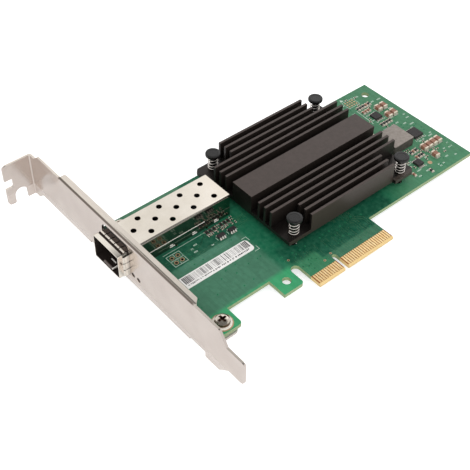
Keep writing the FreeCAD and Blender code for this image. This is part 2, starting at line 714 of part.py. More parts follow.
def cage_back(z0, z1):
    low, high = CAGE_LOW_Y + CAGE_SHEET, CAGE_HIGH_Y - CAGE_SHEET
    return box(CAGE_BACK_X - CAGE_SHEET, CAGE_BACK_X, low, high, z0, z1)


def port_cage_cover():
    cover = cage_walls(CAGE_SEAM_Z, CAGE_HEIGHT)
    cover = fused([cover, cage_back(CAGE_SEAM_Z, CAGE_HEIGHT - CAGE_SHEET)])
    low = CAGE_HEIGHT - CAGE_SHEET
    vents = [small_post(place, VENT_R, low, CAGE_HEIGHT) for place in vent_places()]
    return cover.cut(Part.makeCompound(vents))


def port_cage_base():
    """Floor, lower walls, module latch and the pins pressed into the board."""
    top = CAGE_SEAM_Z - CAGE_SEAM_GAP
    inner_low = CAGE_LOW_Y + CAGE_SHEET
    inner_high = CAGE_HIGH_Y - CAGE_SHEET
    front = CAGE_FRONT_X
    half = LATCH_WIDTH / 2
    gap = half + FINGER_SLIT
    floor = box(front, front + CAGE_FLOOR_LENGTH, inner_low, inner_high, 0, CAGE_SHEET)
    floor = floor.cut(box(front, front + LATCH_LENGTH, CAGE_Y - gap, CAGE_Y + gap, 0, CAGE_SHEET))
    tongue = [
        (front, CAGE_SHEET + LATCH_RISE, 0),
        (front, LATCH_RISE, 0),
        (front + LATCH_LENGTH, 0, 0),
        (front + LATCH_LENGTH, CAGE_SHEET, 0),
    ]
    latch = plate_xz(tongue, CAGE_Y - half, CAGE_Y + half)
    depth = BOARD_THICKNESS + CAGE_PIN_LENGTH
    pins = [centred_box(place, (CAGE_PIN_WIDTH, CAGE_SHEET, depth), -depth) for place in cage_pin_places()]
    return fused([cage_walls(0, top), floor, cage_back(0, top), latch] + pins)


def finger_outline():
    """Side view of one spring finger: an arched strip, as (along, outward) corners."""
    start = CAGE_FRONT_X + COLLAR_BAND
    end = BOARD_LEFT - COLLAR_TO_BOARD
    crest = start + FINGER_RISE
    t = COLLAR_SHEET
    lift = FINGER_BULGE - t
    under = [(start, 0), (crest, lift), (crest + FINGER_CREST, lift), (end, 0)]
    return [(u, v + t) for u, v in under] + under[::-1]


def finger_row(low, high, count):
    """Lengths along one side of the collar, split into equal fingers by slits."""
    pitch = (high - low + FINGER_SLIT) / count
    return [(low + i * pitch, low + (i + 1) * pitch - FINGER_SLIT) for i in range(count)]


def finger(to_space, sweep):
    points = [to_space(u, v) for u, v in finger_outline()]
    return Part.Face(Part.makePolygon(points + points[:1])).extrude(sweep)


def port_spring_collar():
    """A band round the cage's mouth with arched grounding fingers behind it."""
    t = COLLAR_SHEET
    x0, x1 = CAGE_FRONT_X, CAGE_FRONT_X + COLLAR_BAND
    low, high = CAGE_LOW_Y, CAGE_HIGH_Y
    tall = CAGE_HEIGHT
    r = COLLAR_CORNER_R
    outer = [(low - t, -t, r), (high + t, -t, r), (high + t, tall + t, r + t), (low - t, tall + t, r + t)]
    inner = [(low, 0, 0), (high, 0, 0), (high, tall, r), (low, tall, r)]
    pieces = [plate_yz(outer, x0, x1).cut(plate_yz(inner, x0, x1))]
    edge = CAGE_BEND_R
    for y0, y1 in finger_row(low + edge, high - edge, TOP_FINGERS):
        sweep = vector(0, y1 - y0, 0)
        pieces.append(finger(lambda u, v: vector(u, y0, tall + v), sweep))
        pieces.append(finger(lambda u, v: vector(u, y0, -v), sweep))
    for z0, z1 in finger_row(0, tall - SIDE_FINGER_DROP, SIDE_FINGERS):
        sweep = vector(0, 0, z1 - z0)
        pieces.append(finger(lambda u, v: vector(u, high + v, z0), sweep))
        pieces.append(finger(lambda u, v: vector(u, low - v, z0), sweep))
    return fused(pieces)


def port_connector():
    half = HOST_WIDTH / 2
    slot = HOST_SLOT_WIDTH / 2
    x0 = HOST_FRONT_X
    body = box(x0, HOST_BACK_X, CAGE_Y - half, CAGE_Y + half, 0, HOST_HEIGHT)
    return body.cut(box(x0, x0 + HOST_SLOT_DEPTH, CAGE_Y - slot, CAGE_Y + slot, *HOST_SLOT_Z))


def port_contacts():
    """Two rows of contacts lying on the floor and roof of the connector's slot."""
    strips = []
    start = HOST_FRONT_X + HOST_CONTACT_SETBACK
    end = HOST_FRONT_X + HOST_SLOT_DEPTH
    half = HOST_CONTACT_WIDTH / 2
    for i in range(HOST_CONTACT_COUNT):
        y = CAGE_Y + (i - (HOST_CONTACT_COUNT - 1) / 2) * HOST_PITCH
        for z in (HOST_SLOT_Z[0], HOST_SLOT_Z[1] - HOST_CONTACT_T):
            strips.append(box(start, end, y - half, y + half, z, z + HOST_CONTACT_T))
    return group(strips)


def status_lamps():
    """Right-angle lamps on the board's end, with lenses in the bracket's windows."""
    lamps = []
    x0 = BOARD_LEFT + LAMP_SETBACK
    reach = x0 - (BRACKET_FACE_X + LAMP_LENS_SUNK)
    half = LAMP_WIDTH / 2
    for y in LAMP_YS:
        body = box(x0, x0 + LAMP_LENGTH, y - half, y + half, 0, LAMP_HEIGHT)
        lens = Part.makeCylinder(LAMP_LENS_R, reach, vector(x0, y, LAMP_Z), vector(-1, 0, 0))
        lamps.append(fused([body, lens]))
    return group(lamps)


# ---------------------------------------------------------------- controller and cooling


def controller_chip():
    base = centred_box(CHIP, (CHIP_SIZE, CHIP_SIZE, CHIP_SUBSTRATE_T), 0)
    lid = centred_box(CHIP, (CHIP_LID_SIZE, CHIP_LID_SIZE, CHIP_LID_T), CHIP_SUBSTRATE_T)
    return fused([base, lid])


def thermal_pad():
    return centred_box(CHIP, (THERMAL_PAD_SIZE, THERMAL_PAD_SIZE, THERMAL_PAD_T), CHIP_TOP_Z)


def fins():
    """(distance from the middle, length) of each fin, from the heatsink's edge inward."""
    spots = []
    offset = (SINK_WIDTH - FIN_T) / 2
    pin_offset = SINK_WIDTH / 2 - PIN_EDGE_Y
    while offset - (FIN_T + BLOCK_WIDTH) / 2 >= FIN_GAP:
        beside_pins = offset + FIN_T / 2 > pin_offset - PIN_HEAD_R - PIN_TO_LONG_FIN
        spots.append((offset, SHORT_FIN_LENGTH if beside_pins else SINK_LENGTH))
        offset -= FIN_PITCH
    return spots


def heatsink():
    """One extrusion: base, middle block and two banks of fins, milled short at the pins."""
    x, y = CHIP
    left, right = SINK_LEFT, SINK_RIGHT
    low, high = SINK_LOW_Y, SINK_HIGH_Y
    grow, chamfer = EAR_GROWTH, EAR_CHAMFER
    corners = [
        (left, low),
        (right - SIDE_EAR_LENGTH, low),
        (right - SIDE_EAR_LENGTH, low - grow),
        (right - chamfer, low - grow),
        (right, low - grow + chamfer),
        (right, high - chamfer),
        (right - chamfer, high),
        (left - grow + chamfer, high),
        (left - grow, high - chamfer),
        (left - grow, high - END_EAR_LENGTH),
        (left, high - END_EAR_LENGTH),
    ]
    tall = SINK_TOP_Z - SINK_BASE_Z
    pieces = [plate_xy([(u, v, 0) for u, v in corners], SINK_LOW_Z, SINK_BASE_Z)]
    pieces.append(centred_box(CHIP, (SINK_LENGTH, BLOCK_WIDTH, tall), SINK_BASE_Z))
    for offset, length in fins():
        for side in (-1, 1):
            pieces.append(centred_box((x, y + side * offset), (length, FIN_T, tall), SINK_BASE_Z))
    holes = [post(place, PIN_HOLE_R, SINK_LOW_Z, SINK_BASE_Z) for place in PIN_PLACES]
    return fused(pieces).cut(Part.makeCompound(holes))


def push_pin(place):
    """A headed pin whose split, barbed tip snaps in below the board."""
    below = -BOARD_THICKNESS - PIN_BARB_GAP
    tip = below - PIN_BARB_LENGTH
    barb = faceted([(PIN_TIP_R, tip), (PIN_BARB_R, below)], place, SMALL_SIDE_COUNT)
    shank = small_post(place, PIN_SHANK_R, below, PIN_HEAD_LOW_Z)
    head = faceted([(PIN_HEAD_R, PIN_HEAD_LOW_Z), (PIN_HEAD_R, SINK_TOP_Z)], place, HEAD_SIDE_COUNT)
    split = centred_box(place, (2 * PIN_BARB_R, PIN_SPLIT, -tip - BOARD_THICKNESS / 2), tip)
    return fused([barb, shank, head]).cut(split)


def pin_spring(place):
    """A helical spring from the heatsink's base to the underside of a pin's head."""
    low = SINK_BASE_Z + SPRING_SEAT + SPRING_WIRE_R
    high = PIN_HEAD_LOW_Z - SPRING_SEAT - SPRING_WIRE_R
    steps = SPRING_TURN_COUNT * SPRING_STEP_COUNT
    turn = 2 * math.pi / SPRING_STEP_COUNT
    path = []
    for i in range(steps + 1):
        across = SPRING_R * math.cos(i * turn)
        along = SPRING_R * math.sin(i * turn)
        path.append(vector(place[0] + across, place[1] + along, low + (high - low) * i / steps))
    forward = (path[1] - path[0]).normalize()
    side = forward.cross(vector(0, 0, 1)).normalize()
    up = side.cross(forward)
    section = []
    for i in range(SPRING_SIDE_COUNT):
        angle = 2 * math.pi * (i + 0.5) / SPRING_SIDE_COUNT
        offset = side * math.cos(angle) + up * math.sin(angle)
        section.append(path[0] + offset * SPRING_WIRE_R)
    wire = Part.makePolygon(section + section[:1])
    mitred = 1
    return Part.makePolygon(path).makePipeShell([wire], True, True, mitred)


# ---------------------------------------------------------------- surface-mounted parts


def rectangle(centre, length, width, radius):
    """Corners (u, v, radius) of a rectangle on the board."""
    x, y = centre
    u, v = length / 2, width / 2
    return [(x - u, y - v, radius), (x + u, y - v, radius), (x + u, y + v, radius), (x - u, y + v, radius)]


def power_inductor():
    outline = rectangle(on_tail(INDUCTOR_SHARES), INDUCTOR_LENGTH, INDUCTOR_WIDTH, INDUCTOR_CORNER_R)
    body = plate_xy(outline, 0, INDUCTOR_HEIGHT)
    rim = [edge for edge in body.Edges if edge.BoundBox.ZMin > INDUCTOR_HEIGHT - 1e-3]
    return body.makeChamfer(INDUCTOR_RIM, rim)


def power_mosfet():
    return centred_box(on_tail(MOSFET_SHARES), (MOSFET_LENGTH, MOSFET_WIDTH, MOSFET_HEIGHT), 0)


def regulator_chip():
    return centred_box(on_tail(REGULATOR_SHARES), (REGULATOR_SIZE, REGULATOR_SIZE, REGULATOR_HEIGHT), 0)


def supervisor_chip():
    return centred_box(on_tail(SUPERVISOR_SHARES), (SUPERVISOR_SIZE, SUPERVISOR_SIZE, SUPERVISOR_HEIGHT), 0)


def side_row(centre, reach, count, pitch):
    """Lead places along both Y sides of a package."""
    x, y = centre
    xs = [x + (i - (count - 1) / 2) * pitch for i in range(count)]
    return [(px, y + side * reach) for px in xs for side in (-1, 1)]


def package_leads():
    """Tinned leads standing out from under the moulded packages."""
    packages = [
        (on_tail(MOSFET_SHARES), MOSFET_WIDTH, MOSFET_LEAD_COUNT, MOSFET_LEAD_PITCH),
        (on_tail(REGULATOR_SHARES), REGULATOR_SIZE, REGULATOR_LEAD_COUNT, FINE_LEAD_PITCH),
        (on_tail(SUPERVISOR_SHARES), SUPERVISOR_SIZE, SUPERVISOR_LEAD_COUNT, FINE_LEAD_PITCH),
    ]
    leads = []
    for centre, width, count, pitch in packages:
        places = side_row(centre, (width + LEAD_LENGTH) / 2, count, pitch)
        leads += [centred_box(place, (LEAD_WIDTH, LEAD_LENGTH, LEAD_T), 0) for place in places]
    return group(leads)


def capacitor_bodies():
    core = (LARGE_CAP_WIDTH, LARGE_CAP_LENGTH - 2 * LARGE_CAP_END, LARGE_CAP_HEIGHT)
    return group([centred_box(on_tail(shares), core, 0) for shares in LARGE_CAP_SHARES])


def capacitor_ends():
    reach = (LARGE_CAP_LENGTH - LARGE_CAP_END) / 2
    size = (LARGE_CAP_WIDTH, LARGE_CAP_END, LARGE_CAP_HEIGHT)
    ends = []
    for shares in LARGE_CAP_SHARES:
        x, y = on_tail(shares)
        ends += [centred_box((x, y + side * reach), size, 0) for side in (-1, 1)]
    return group(ends)


def chip_part_places():
    """Small chip parts of the component side: on the tail strip and beside the cage."""
    row_y = CAGE_LOW_Y - CHIP_PARTS_TO_CAGE
    beside_cage = [(CAGE_BACK_X - gap, row_y) for gap in CHIP_PARTS_TO_BACK]
    return [on_tail(shares) for shares in CHIP_PART_SHARES] + beside_cage


def chip_parts(places, z0):
    size = (CHIP_PART_WIDTH, CHIP_PART_LENGTH, CHIP_PART_HEIGHT)
    return group([centred_box(place, size, z0) for place in places])


def sot_places():
    return [(CAGE_BACK_X - gap, CAGE_LOW_Y - SOT_TO_CAGE) for gap in SOT_TO_BACK]


def transistor_bodies():
    return group([centred_box(place, (SOT_LENGTH, SOT_WIDTH, SOT_HEIGHT), LEAD_T) for place in sot_places()])


def transistor_leads():
    """Gull-wing leads each side of the small-outline packages."""
    half = LEAD_WIDTH / 2
    t = LEAD_T
    knee = SOT_LEAD_RUN / 2
    top = t + SOT_HEIGHT / 2
    toe = SOT_LEAD_RUN
    shin = [(0, top), (0, top - t), (knee - t, top - t), (knee - t, 0)]
    side_view = shin + [(toe, 0), (toe, t), (knee, t), (knee, top)]
    rows = []
    for centre in sot_places():
        for x, y in side_row(centre, SOT_WIDTH / 2, SOT_LEAD_COUNT, SOT_LEAD_PITCH):
            out = 1 if y > centre[1] else -1
            points = [vector(x - half, y + out * u, v) for u, v in side_view]
            rows.append(Part.Face(Part.makePolygon(points + points[:1])).extrude(vector(LEAD_WIDTH, 0, 0)))
    return group(rows)


def board_pads():
    """Bare plated pads: the round test pad and an empty square footprint."""
    pads = [post(on_tail(TEST_PAD_SHARES), TEST_PAD_R, 0, PLATE_T)]
    x, y = on_tail(FOOTPRINT_SHARES)
    first_x = x - (FOOTPRINT_COLUMN_COUNT - 1) * FOOTPRINT_STEP / 2
    first_y = y - (FOOTPRINT_ROW_COUNT - 1) * FOOTPRINT_STEP / 2
    for i in range(FOOTPRINT_COLUMN_COUNT):
        for j in range(FOOTPRINT_ROW_COUNT):
            place = (first_x + i * FOOTPRINT_STEP, first_y + j * FOOTPRINT_STEP)
            pads.append(centred_box(place, (FOOTPRINT_PAD, FOOTPRINT_PAD, PLATE_T), 0))
    return group(pads)


def barcode_label():
    left = BOARD_LEFT + LABEL_TO_BRACKET
    right = left + LABEL_LENGTH
    high = CAGE_LOW_Y - LABEL_TO_CAGE
    low = high - LABEL_WIDTH
    r = LABEL_CORNER_R
    return plate_xy([(left, low, 0), (right, low, r), (right, high, r), (left, high, 0)], 0, LABEL_T)


# ---------------------------------------------------------------- solder side


def decoupling_capacitors():
    """A grid of capacitors on the solder side, under the controller."""
    left = CHIP[0] - (DECOUPLING_COLUMNS - 1) * DECOUPLING_STEP_X / 2
    low = CHIP[1] - (DECOUPLING_ROWS - 1) * DECOUPLING_STEP_Y / 2
    xs = [left + i * DECOUPLING_STEP_X for i in range(DECOUPLING_COLUMNS)]
    ys = [low + j * DECOUPLING_STEP_Y for j in range(DECOUPLING_ROWS)]
    places = [(x, y) for x in xs for y in ys]
    return chip_parts(places, -BOARD_THICKNESS - CHIP_PART_HEIGHT)


def boot_flash():
    size = (FLASH_LENGTH, FLASH_WIDTH, FLASH_HEIGHT)
    return centred_box(on_tail(FLASH_SHARES), size, -BOARD_THICKNESS - FLASH_HEIGHT)


def crystal():
    place = (CHIP[0] - CRYSTAL_TO_CHIP[0], CHIP[1] - CRYSTAL_TO_CHIP[1])
    size = (CRYSTAL_LENGTH, CRYSTAL_WIDTH, CRYSTAL_HEIGHT)
    return centred_box(place, size, -BOARD_THICKNESS - CRYSTAL_HEIGHT)


# ---------------------------------------------------------------- the card

NODES = {
    "circuit_board": circuit_board(),
    "edge_contacts_front": edge_contacts(0),
    "edge_contacts_back": edge_contacts(-BOARD_THICKNESS - PAD_THICKNESS),
    "bracket": bracket(),
    "bracket_screws": group([bracket_screw(place) for place in SCREW_PLACES]),
    "port_cage_cover": port_cage_cover(),
    "port_cage_base": port_cage_base(),
    "port_spring_collar": port_spring_collar(),
    "port_connector": port_connector(),
    "port_contacts": port_contacts(),
    "status_lamps": status_lamps(),
    "controller_chip": controller_chip(),
    "thermal_pad": thermal_pad(),
    "heatsink": heatsink(),
    "push_pins": group([push_pin(place) for place in PIN_PLACES]),
    "pin_springs": group([pin_spring(place) for place in PIN_PLACES]),
    "power_inductor": power_inductor(),
    "power_mosfet": power_mosfet(),
    "regulator_chip": regulator_chip(),
    "supervisor_chip": supervisor_chip(),
    "package_leads": package_leads(),
    "capacitor_bodies": capacitor_bodies(),
    "capacitor_ends": capacitor_ends(),
    "transistor_bodies": transistor_bodies(),
    "transistor_leads": transistor_leads(),
    "chip_parts": chip_parts(chip_part_places(), 0),
    "decoupling_capacitors": decoupling_capacitors(),
    "board_pads": board_pads(),
    "barcode_label": barcode_label(),
    "boot_flash": boot_flash(),
    "crystal": crystal(),
}

os.makedirs("parts", exist_ok=True)
for name, shape in NODES.items():
    shape.exportStep("parts/" + name + ".step")
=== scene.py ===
import json
import random
from math import asin, cos, hypot, pi, radians, sin

import bmesh
import bpy
from mathutils import Euler, Matrix, Vector


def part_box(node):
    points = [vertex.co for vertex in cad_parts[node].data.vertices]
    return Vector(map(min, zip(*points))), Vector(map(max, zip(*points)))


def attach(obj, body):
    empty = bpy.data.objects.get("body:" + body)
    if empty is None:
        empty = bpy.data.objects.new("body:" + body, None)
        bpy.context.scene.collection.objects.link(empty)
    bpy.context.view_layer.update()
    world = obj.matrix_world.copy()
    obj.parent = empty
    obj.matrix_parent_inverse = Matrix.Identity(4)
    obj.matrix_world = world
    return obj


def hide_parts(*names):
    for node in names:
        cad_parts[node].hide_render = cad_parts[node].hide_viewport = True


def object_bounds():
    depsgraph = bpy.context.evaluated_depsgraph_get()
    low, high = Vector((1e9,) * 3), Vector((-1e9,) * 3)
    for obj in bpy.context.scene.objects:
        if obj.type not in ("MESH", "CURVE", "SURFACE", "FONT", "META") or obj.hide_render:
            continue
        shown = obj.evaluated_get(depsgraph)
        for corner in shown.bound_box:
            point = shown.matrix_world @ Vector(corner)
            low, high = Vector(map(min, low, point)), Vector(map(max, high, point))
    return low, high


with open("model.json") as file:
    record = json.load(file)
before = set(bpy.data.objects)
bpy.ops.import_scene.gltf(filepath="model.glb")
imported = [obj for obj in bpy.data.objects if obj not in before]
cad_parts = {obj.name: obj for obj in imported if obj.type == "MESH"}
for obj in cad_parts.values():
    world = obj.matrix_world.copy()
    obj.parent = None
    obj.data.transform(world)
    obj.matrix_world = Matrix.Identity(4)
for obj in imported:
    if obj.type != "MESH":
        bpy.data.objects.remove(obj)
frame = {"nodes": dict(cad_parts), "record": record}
cad_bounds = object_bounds()

# The frame is in metres. Sizes and places below are in millimetres, in the frame's own axes:
# X from the bracket to the tail, Y from the card edge upward, Z out of the component face.
MM = 0.001
random.seed(7)


def box_mm(node):
    low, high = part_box(node)
    return low / MM, high / MM


def islands(node):
    """Boxes (lowest, highest corner) of the separate solids of a node, in reading order."""
    mesh = frame["nodes"][node].data
    first_at = {}
    root = list(range(len(mesh.vertices)))

    def find(i):
        while root[i] != i:
            root[i] = root[root[i]]
            i = root[i]
        return i

    for v in mesh.vertices:
        key = tuple(round(c * 1e6) for c in v.co)
        root[find(v.index)] = find(first_at.setdefault(key, v.index))
    for edge in mesh.edges:
        root[find(edge.vertices[0])] = find(edge.vertices[1])
    groups = {}
    for v in mesh.vertices:
        groups.setdefault(find(v.index), []).append(v.co / MM)
    boxes = [[Vector(map(end, *points)) for end in (min, max)] for points in groups.values()]
    return sorted(boxes, key=lambda box: [round(c, 2) for c in box[0]])


BOARD_LOW, BOARD_HIGH = box_mm("circuit_board")
BRACKET_TOP = box_mm("bracket")[1].z
CAGE_LOW, CAGE_HIGH = box_mm("port_cage_cover")
CAGE_MIDDLE = (CAGE_LOW.y + CAGE_HIGH.y) / 2
CAGE_SEAM = box_mm("port_cage_base")[1].z
COLLAR_LOW, COLLAR_HIGH = box_mm("port_spring_collar")
SINK_LOW, SINK_HIGH = box_mm("heatsink")
CHIP_LOW, CHIP_HIGH = box_mm("controller_chip")
LABEL_LOW, LABEL_HIGH = box_mm("barcode_label")
PADS_LOW, PADS_HIGH = box_mm("edge_contacts_front")
INDUCTOR_LOW, INDUCTOR_HIGH = box_mm("power_inductor")
MOUNTS = {m["name"]: [c / MM for c in m["pos_m"]] for m in frame["record"]["mounts"]}
TABS_END = MOUNTS["hook_hole"][1] + 4.3  # just past the board's edge beside the connector
FACE, BACK = 0.0, BOARD_LOW.z  # heights of the board's component face and solder face
BRACKET_FACE = -58.5  # the outer side of the bracket's plate
FLANGE_EDGE = BRACKET_FACE + 3.0
FLANGE_START = 10.0  # the flange's end nearer the edge connector
CREST_START = COLLAR_LOW.x + 2.3
CREST_END = CREST_START + 0.95
INK = 0.03  # thickness of printed lines
LINE = 0.16  # width of most printed lines
COPPER = 0.035  # thickness of traces under the mask
PLATE = 0.05  # thickness of bare plated rings
DARK = 0.012  # thickness of a via's dark middle, and of the label's ink
CHIP_END = 0.34  # length of a chip part's plated end
TAIL_CLEAR = 2.6  # half the square kept clear round the hole at the tail
PLATED_VIAS = ((-13.4, 15.1), (-3.85, 7.1))
NOTCH_VIA = (0.0, 8.3)


# --- shader helpers


def srgb(*display):
    """A colour from three display values, 0 to 255, as linear RGBA."""
    values = [c / 255 for c in display]
    return (*(c / 12.92 if c <= 0.04045 else ((c + 0.055) / 1.055) ** 2.4 for c in values), 1.0)


def configured(thing, **settings):
    """The same thing, its settings made."""
    for key, value in settings.items():
        setattr(thing, key, value)
    return thing


class Nodes:
    """A node tree, with a method for each kind of node that the looks are made of."""

    def __init__(self, tree):
        self.tree = tree

    def put(self, value, socket):
        """Links a socket to another, or sets it to a constant."""
        if isinstance(value, bpy.types.NodeSocket):
            self.tree.links.new(value, socket)
        else:
            socket.default_value = value

    def add(self, kind, inputs=None, **settings):
        node = configured(self.tree.nodes.new(kind), **settings)
        for key, value in (inputs or {}).items():
            self.put(value, node.inputs[key])
        return node

    def calc(self, operation, *values):
        """One sum over two values, or over more of them in turn."""
        total = values[0]
        for value in values[1:] or (0.0,):
            total = self.add("ShaderNodeMath", {0: total, 1: value}, operation=operation).outputs[0]
        return total

    def times(self, *values):
        return self.calc("MULTIPLY", *values)

    def most(self, *values):
        return self.calc("MAXIMUM", *values)

    def ramp(self, value, low, high, to_low=0.0, to_high=1.0):
        """value from low..high carried to to_low..to_high, and held at the ends."""
        ends = {"Value": value, "From Min": low, "From Max": high, "To Min": to_low, "To Max": to_high}
        return self.add("ShaderNodeMapRange", ends).outputs["Result"]

    def mix(self, factor, a, b):
        """Between two colours, each a socket or three display values."""
        a, b = (srgb(*c) if isinstance(c, tuple) else c for c in (a, b))
        return self.add("ShaderNodeMix", {0: factor, 6: a, 7: b}, data_type="RGBA").outputs[2]

    def millimetres(self, stretch=(1, 1, 1)):
        """The point's place in millimetres, each axis times its stretch."""
        inputs = {0: self.add("ShaderNodeTexCoord").outputs["Object"], 1: Vector(stretch) / MM}
        return self.add("ShaderNodeVectorMath", inputs, operation="MULTIPLY").outputs[0]

    def axes(self, vector):
        return tuple(self.add("ShaderNodeSeparateXYZ", {"Vector": vector}).outputs)

    def place(self):
        return self.axes(self.millimetres())

    def normal(self):
        return self.axes(self.add("ShaderNodeNewGeometry").outputs["Normal"])

    def noise(self, scale, detail=3.0, stretch=(1, 1, 1)):
        inputs = {"Vector": self.millimetres(stretch), "Scale": scale, "Detail": detail}
        return self.add("ShaderNodeTexNoise", inputs).outputs["Fac"]

    def patches(self, scale, detail=3.0):
        return self.ramp(self.noise(scale, detail), 0.35, 0.65)

    def zone(self, place, low, high, soft):
        """1 inside a rectangle of the board, falling to 0 over a soft edge."""
        edges = []
        for value, start, end in zip(place, low, high):
            edges.append(self.ramp(value, start - soft, start + soft))
            edges.append(self.ramp(value, end - soft, end + soft, 1.0, 0.0))
        return self.times(*edges)

    def rays(self):
        """1 for rays that see the plain white background, and 1 for mirrored rays."""
        path = self.add("ShaderNodeLightPath").outputs
        return self.most(path["Is Camera Ray"], path["Is Transmission Ray"]), path["Is Glossy Ray"]


class Look(Nodes):
    """The tree of a Principled material."""

    def __init__(self, name, specular=0.5, **settings):
        self.material = configured(bpy.data.materials.new(name), use_nodes=True)
        super().__init__(self.material.node_tree)
        self.inputs = self.tree.nodes["Principled BSDF"].inputs
        self.inputs["Specular IOR Level"].default_value = specular
        for key, value in settings.items():
            self.inputs[key.replace("_", " ")].default_value = value

    def finished(self, colour, rough, grain, relief, metallic=None):
        """The material; rough is a socket or its two ends over the grain, relief is in millimetres."""
        if isinstance(rough, tuple):
            rough = self.ramp(grain, 0.3, 0.7, *rough)
        bump = self.add("ShaderNodeBump", {"Height": grain, "Distance": relief * MM})
        self.put(colour, self.inputs["Base Color"])
        self.put(rough, self.inputs["Roughness"])
        self.put(bump.outputs["Normal"], self.inputs["Normal"])
        if metallic is not None:
            self.put(metallic, self.inputs["Metallic"])
        return self.material


# --- materials


def finish(name, colour, second, rough, scale, relief, stretch=(1, 1, 1), **settings):
    """A material whose colour and roughness wander between two values, with a fine grain."""
    look = Look(name, **settings)
    tone = look.mix(look.patches(scale * 0.35, 4.0), colour, second)
    return look.finished(tone, rough, look.noise(scale * 4.0, 3.0, stretch), relief)


def mask_light_and_shade_zones():
    """Rectangles where the mask's tone is changed: painted shade by the cage, under the bracket's flange and
    beside the heatsink, painted light on the tab, the far strip and the tail, and elsewhere a tone standing
    partly for copper beneath.

    Each is two corners, the softness of the edge, a colour and a strength.
    """
    west, east, south, north = -80, 90, -5, 90  # beyond the board on each side
    left, right = PADS_LOW.x - 1.5, PADS_HIGH.x + 1.0
    near = CAGE_LOW.y - 8.2
    sink, tail = SINK_LOW.x, SINK_HIGH.x
    strip = sink - 6.5
    neck = 9.2
    return (
        ((west, south), (sink - 4.5, near), 1.2, (68, 116, 92), 0.9),
        ((-44, near - 2.5), (strip, near), 0.5, (76, 128, 106), 0.8),
        # painted shade round the cage
        ((west, near), (strip, north), 0.35, (16, 78, 58), 0.9),
        # painted light on the tab by the edge connector
        ((west, south), (left - 1.0, TABS_END + 0.5), 0.9, (58, 160, 106), 0.9),
        ((left - 1.0, 4.0), (-1.0, TABS_END + 2), 1.6, (58, 126, 88), 0.75),
        ((right - 26.0, neck), (right, TABS_END + 1), 0.4, (12, 78, 58), 0.85),
        ((-1.0, 4.0), (right, neck), 0.4, (62, 112, 86), 0.85),
        # painted shadow beside the heatsink
        ((sink - 1, TABS_END), (tail - 14, SINK_LOW.y + 6), 1.0, (12, 72, 52), 0.9),
        # painted light over the tail, in this zone and the next
        ((tail - 11, south), (east, SINK_LOW.y + 2), 4.0, (72, 130, 94), 0.9),
        ((tail - 1, SINK_LOW.y), (east, north), 1.5, (74, 129, 94), 0.85),
        # painted shadow under the bracket's flange
        ((west, CAGE_HIGH.y - 2), (FLANGE_EDGE + 1.2, north), 0.4, (12, 26, 20), 0.9),
        # painted light on the strip beyond the cage
        ((FLANGE_EDGE + 8, CAGE_HIGH.y + 2), (strip, north), 0.8, (84, 132, 104), 0.85),
        # painted shade at the far corner by the flange
        ((FLANGE_EDGE, CAGE_HIGH.y + 2), (FLANGE_EDGE + 7, north), 0.8, (8, 22, 17), 0.95),
    )


def board_material():
    """Green solder mask over copper with zones of painted light and shade, bare laminate between the contacts
    and at the edges.
    """
    look = Look("board_mask", specular=0.2)
    at = look.millimetres()
    wander = look.add("ShaderNodeTexNoise", {"Vector": at, "Scale": 0.5, "Detail": 3.0}).outputs["Color"]
    shift = {0: wander, 1: (1.2, 1.2, 0.0), 2: at}
    place = look.axes(look.add("ShaderNodeVectorMath", shift, operation="MULTIPLY_ADD").outputs[0])
    exact = look.axes(at)
    cells = {"Vector": look.millimetres((1, 0.25, 1)), "Scale": 0.8}
    runs = look.add("ShaderNodeTexVoronoi", cells, distance="CHEBYCHEV").outputs["Distance"]
    run_lines = look.ramp(runs, 0.4, 0.5)
    mottle = look.ramp(look.noise(0.6, 4.0), 0.35, 0.7)
    facing = look.normal()[2]
    # the zones' painted light and shade is full on the component face, weaker on the solder face
    painted_zone_face_weight = look.ramp(facing, -0.5, 0.5, 0.3, 1.0)
    mask = look.mix(look.ramp(look.noise(0.035, 2.0), 0.4, 0.6), (20, 94, 66), (26, 104, 74))
    for low, high, soft, colour, strength in mask_light_and_shade_zones():
        share = look.times(look.zone(place, low, high, soft), strength, painted_zone_face_weight)
        mask = look.mix(share, mask, colour)
    light = look.mix(0.75, mask, (96, 160, 128))
    dark = look.mix(0.75, mask, (4, 44, 32))
    mask = look.mix(look.times(mottle, 0.22), mask, light)
    mask = look.mix(look.times(run_lines, 0.13), mask, dark)
    flat = look.ramp(look.calc("ABSOLUTE", facing), 0.93, 0.98)
    tongues = look.zone(exact, (PADS_LOW.x - 2.0, -5), (PADS_HIGH.x + 2.0, PADS_HIGH.y + 0.1), 0.08)
    layers = look.ramp(look.calc("SINE", look.times(exact[2], 30.0)), -1.0, 1.0)
    core = look.mix(layers, (158, 176, 134), (112, 148, 104))
    speckle = look.patches(6.0)
    core = look.mix(look.times(speckle, 0.4), core, (190, 190, 152))
    between = look.mix(speckle, (154, 94, 42), (134, 76, 32))
    bevel = look.mix(speckle, (236, 208, 150), (222, 190, 130))
    colour = look.mix(tongues, look.mix(flat, core, mask), look.mix(flat, bevel, between))
    rough = look.ramp(look.noise(0.8), 0.3, 0.7, 0.3, 0.42)
    grain = look.calc("ADD", look.times(run_lines, -0.6), look.times(mottle, 0.2))
    return look.finished(colour, rough, grain, 0.02)


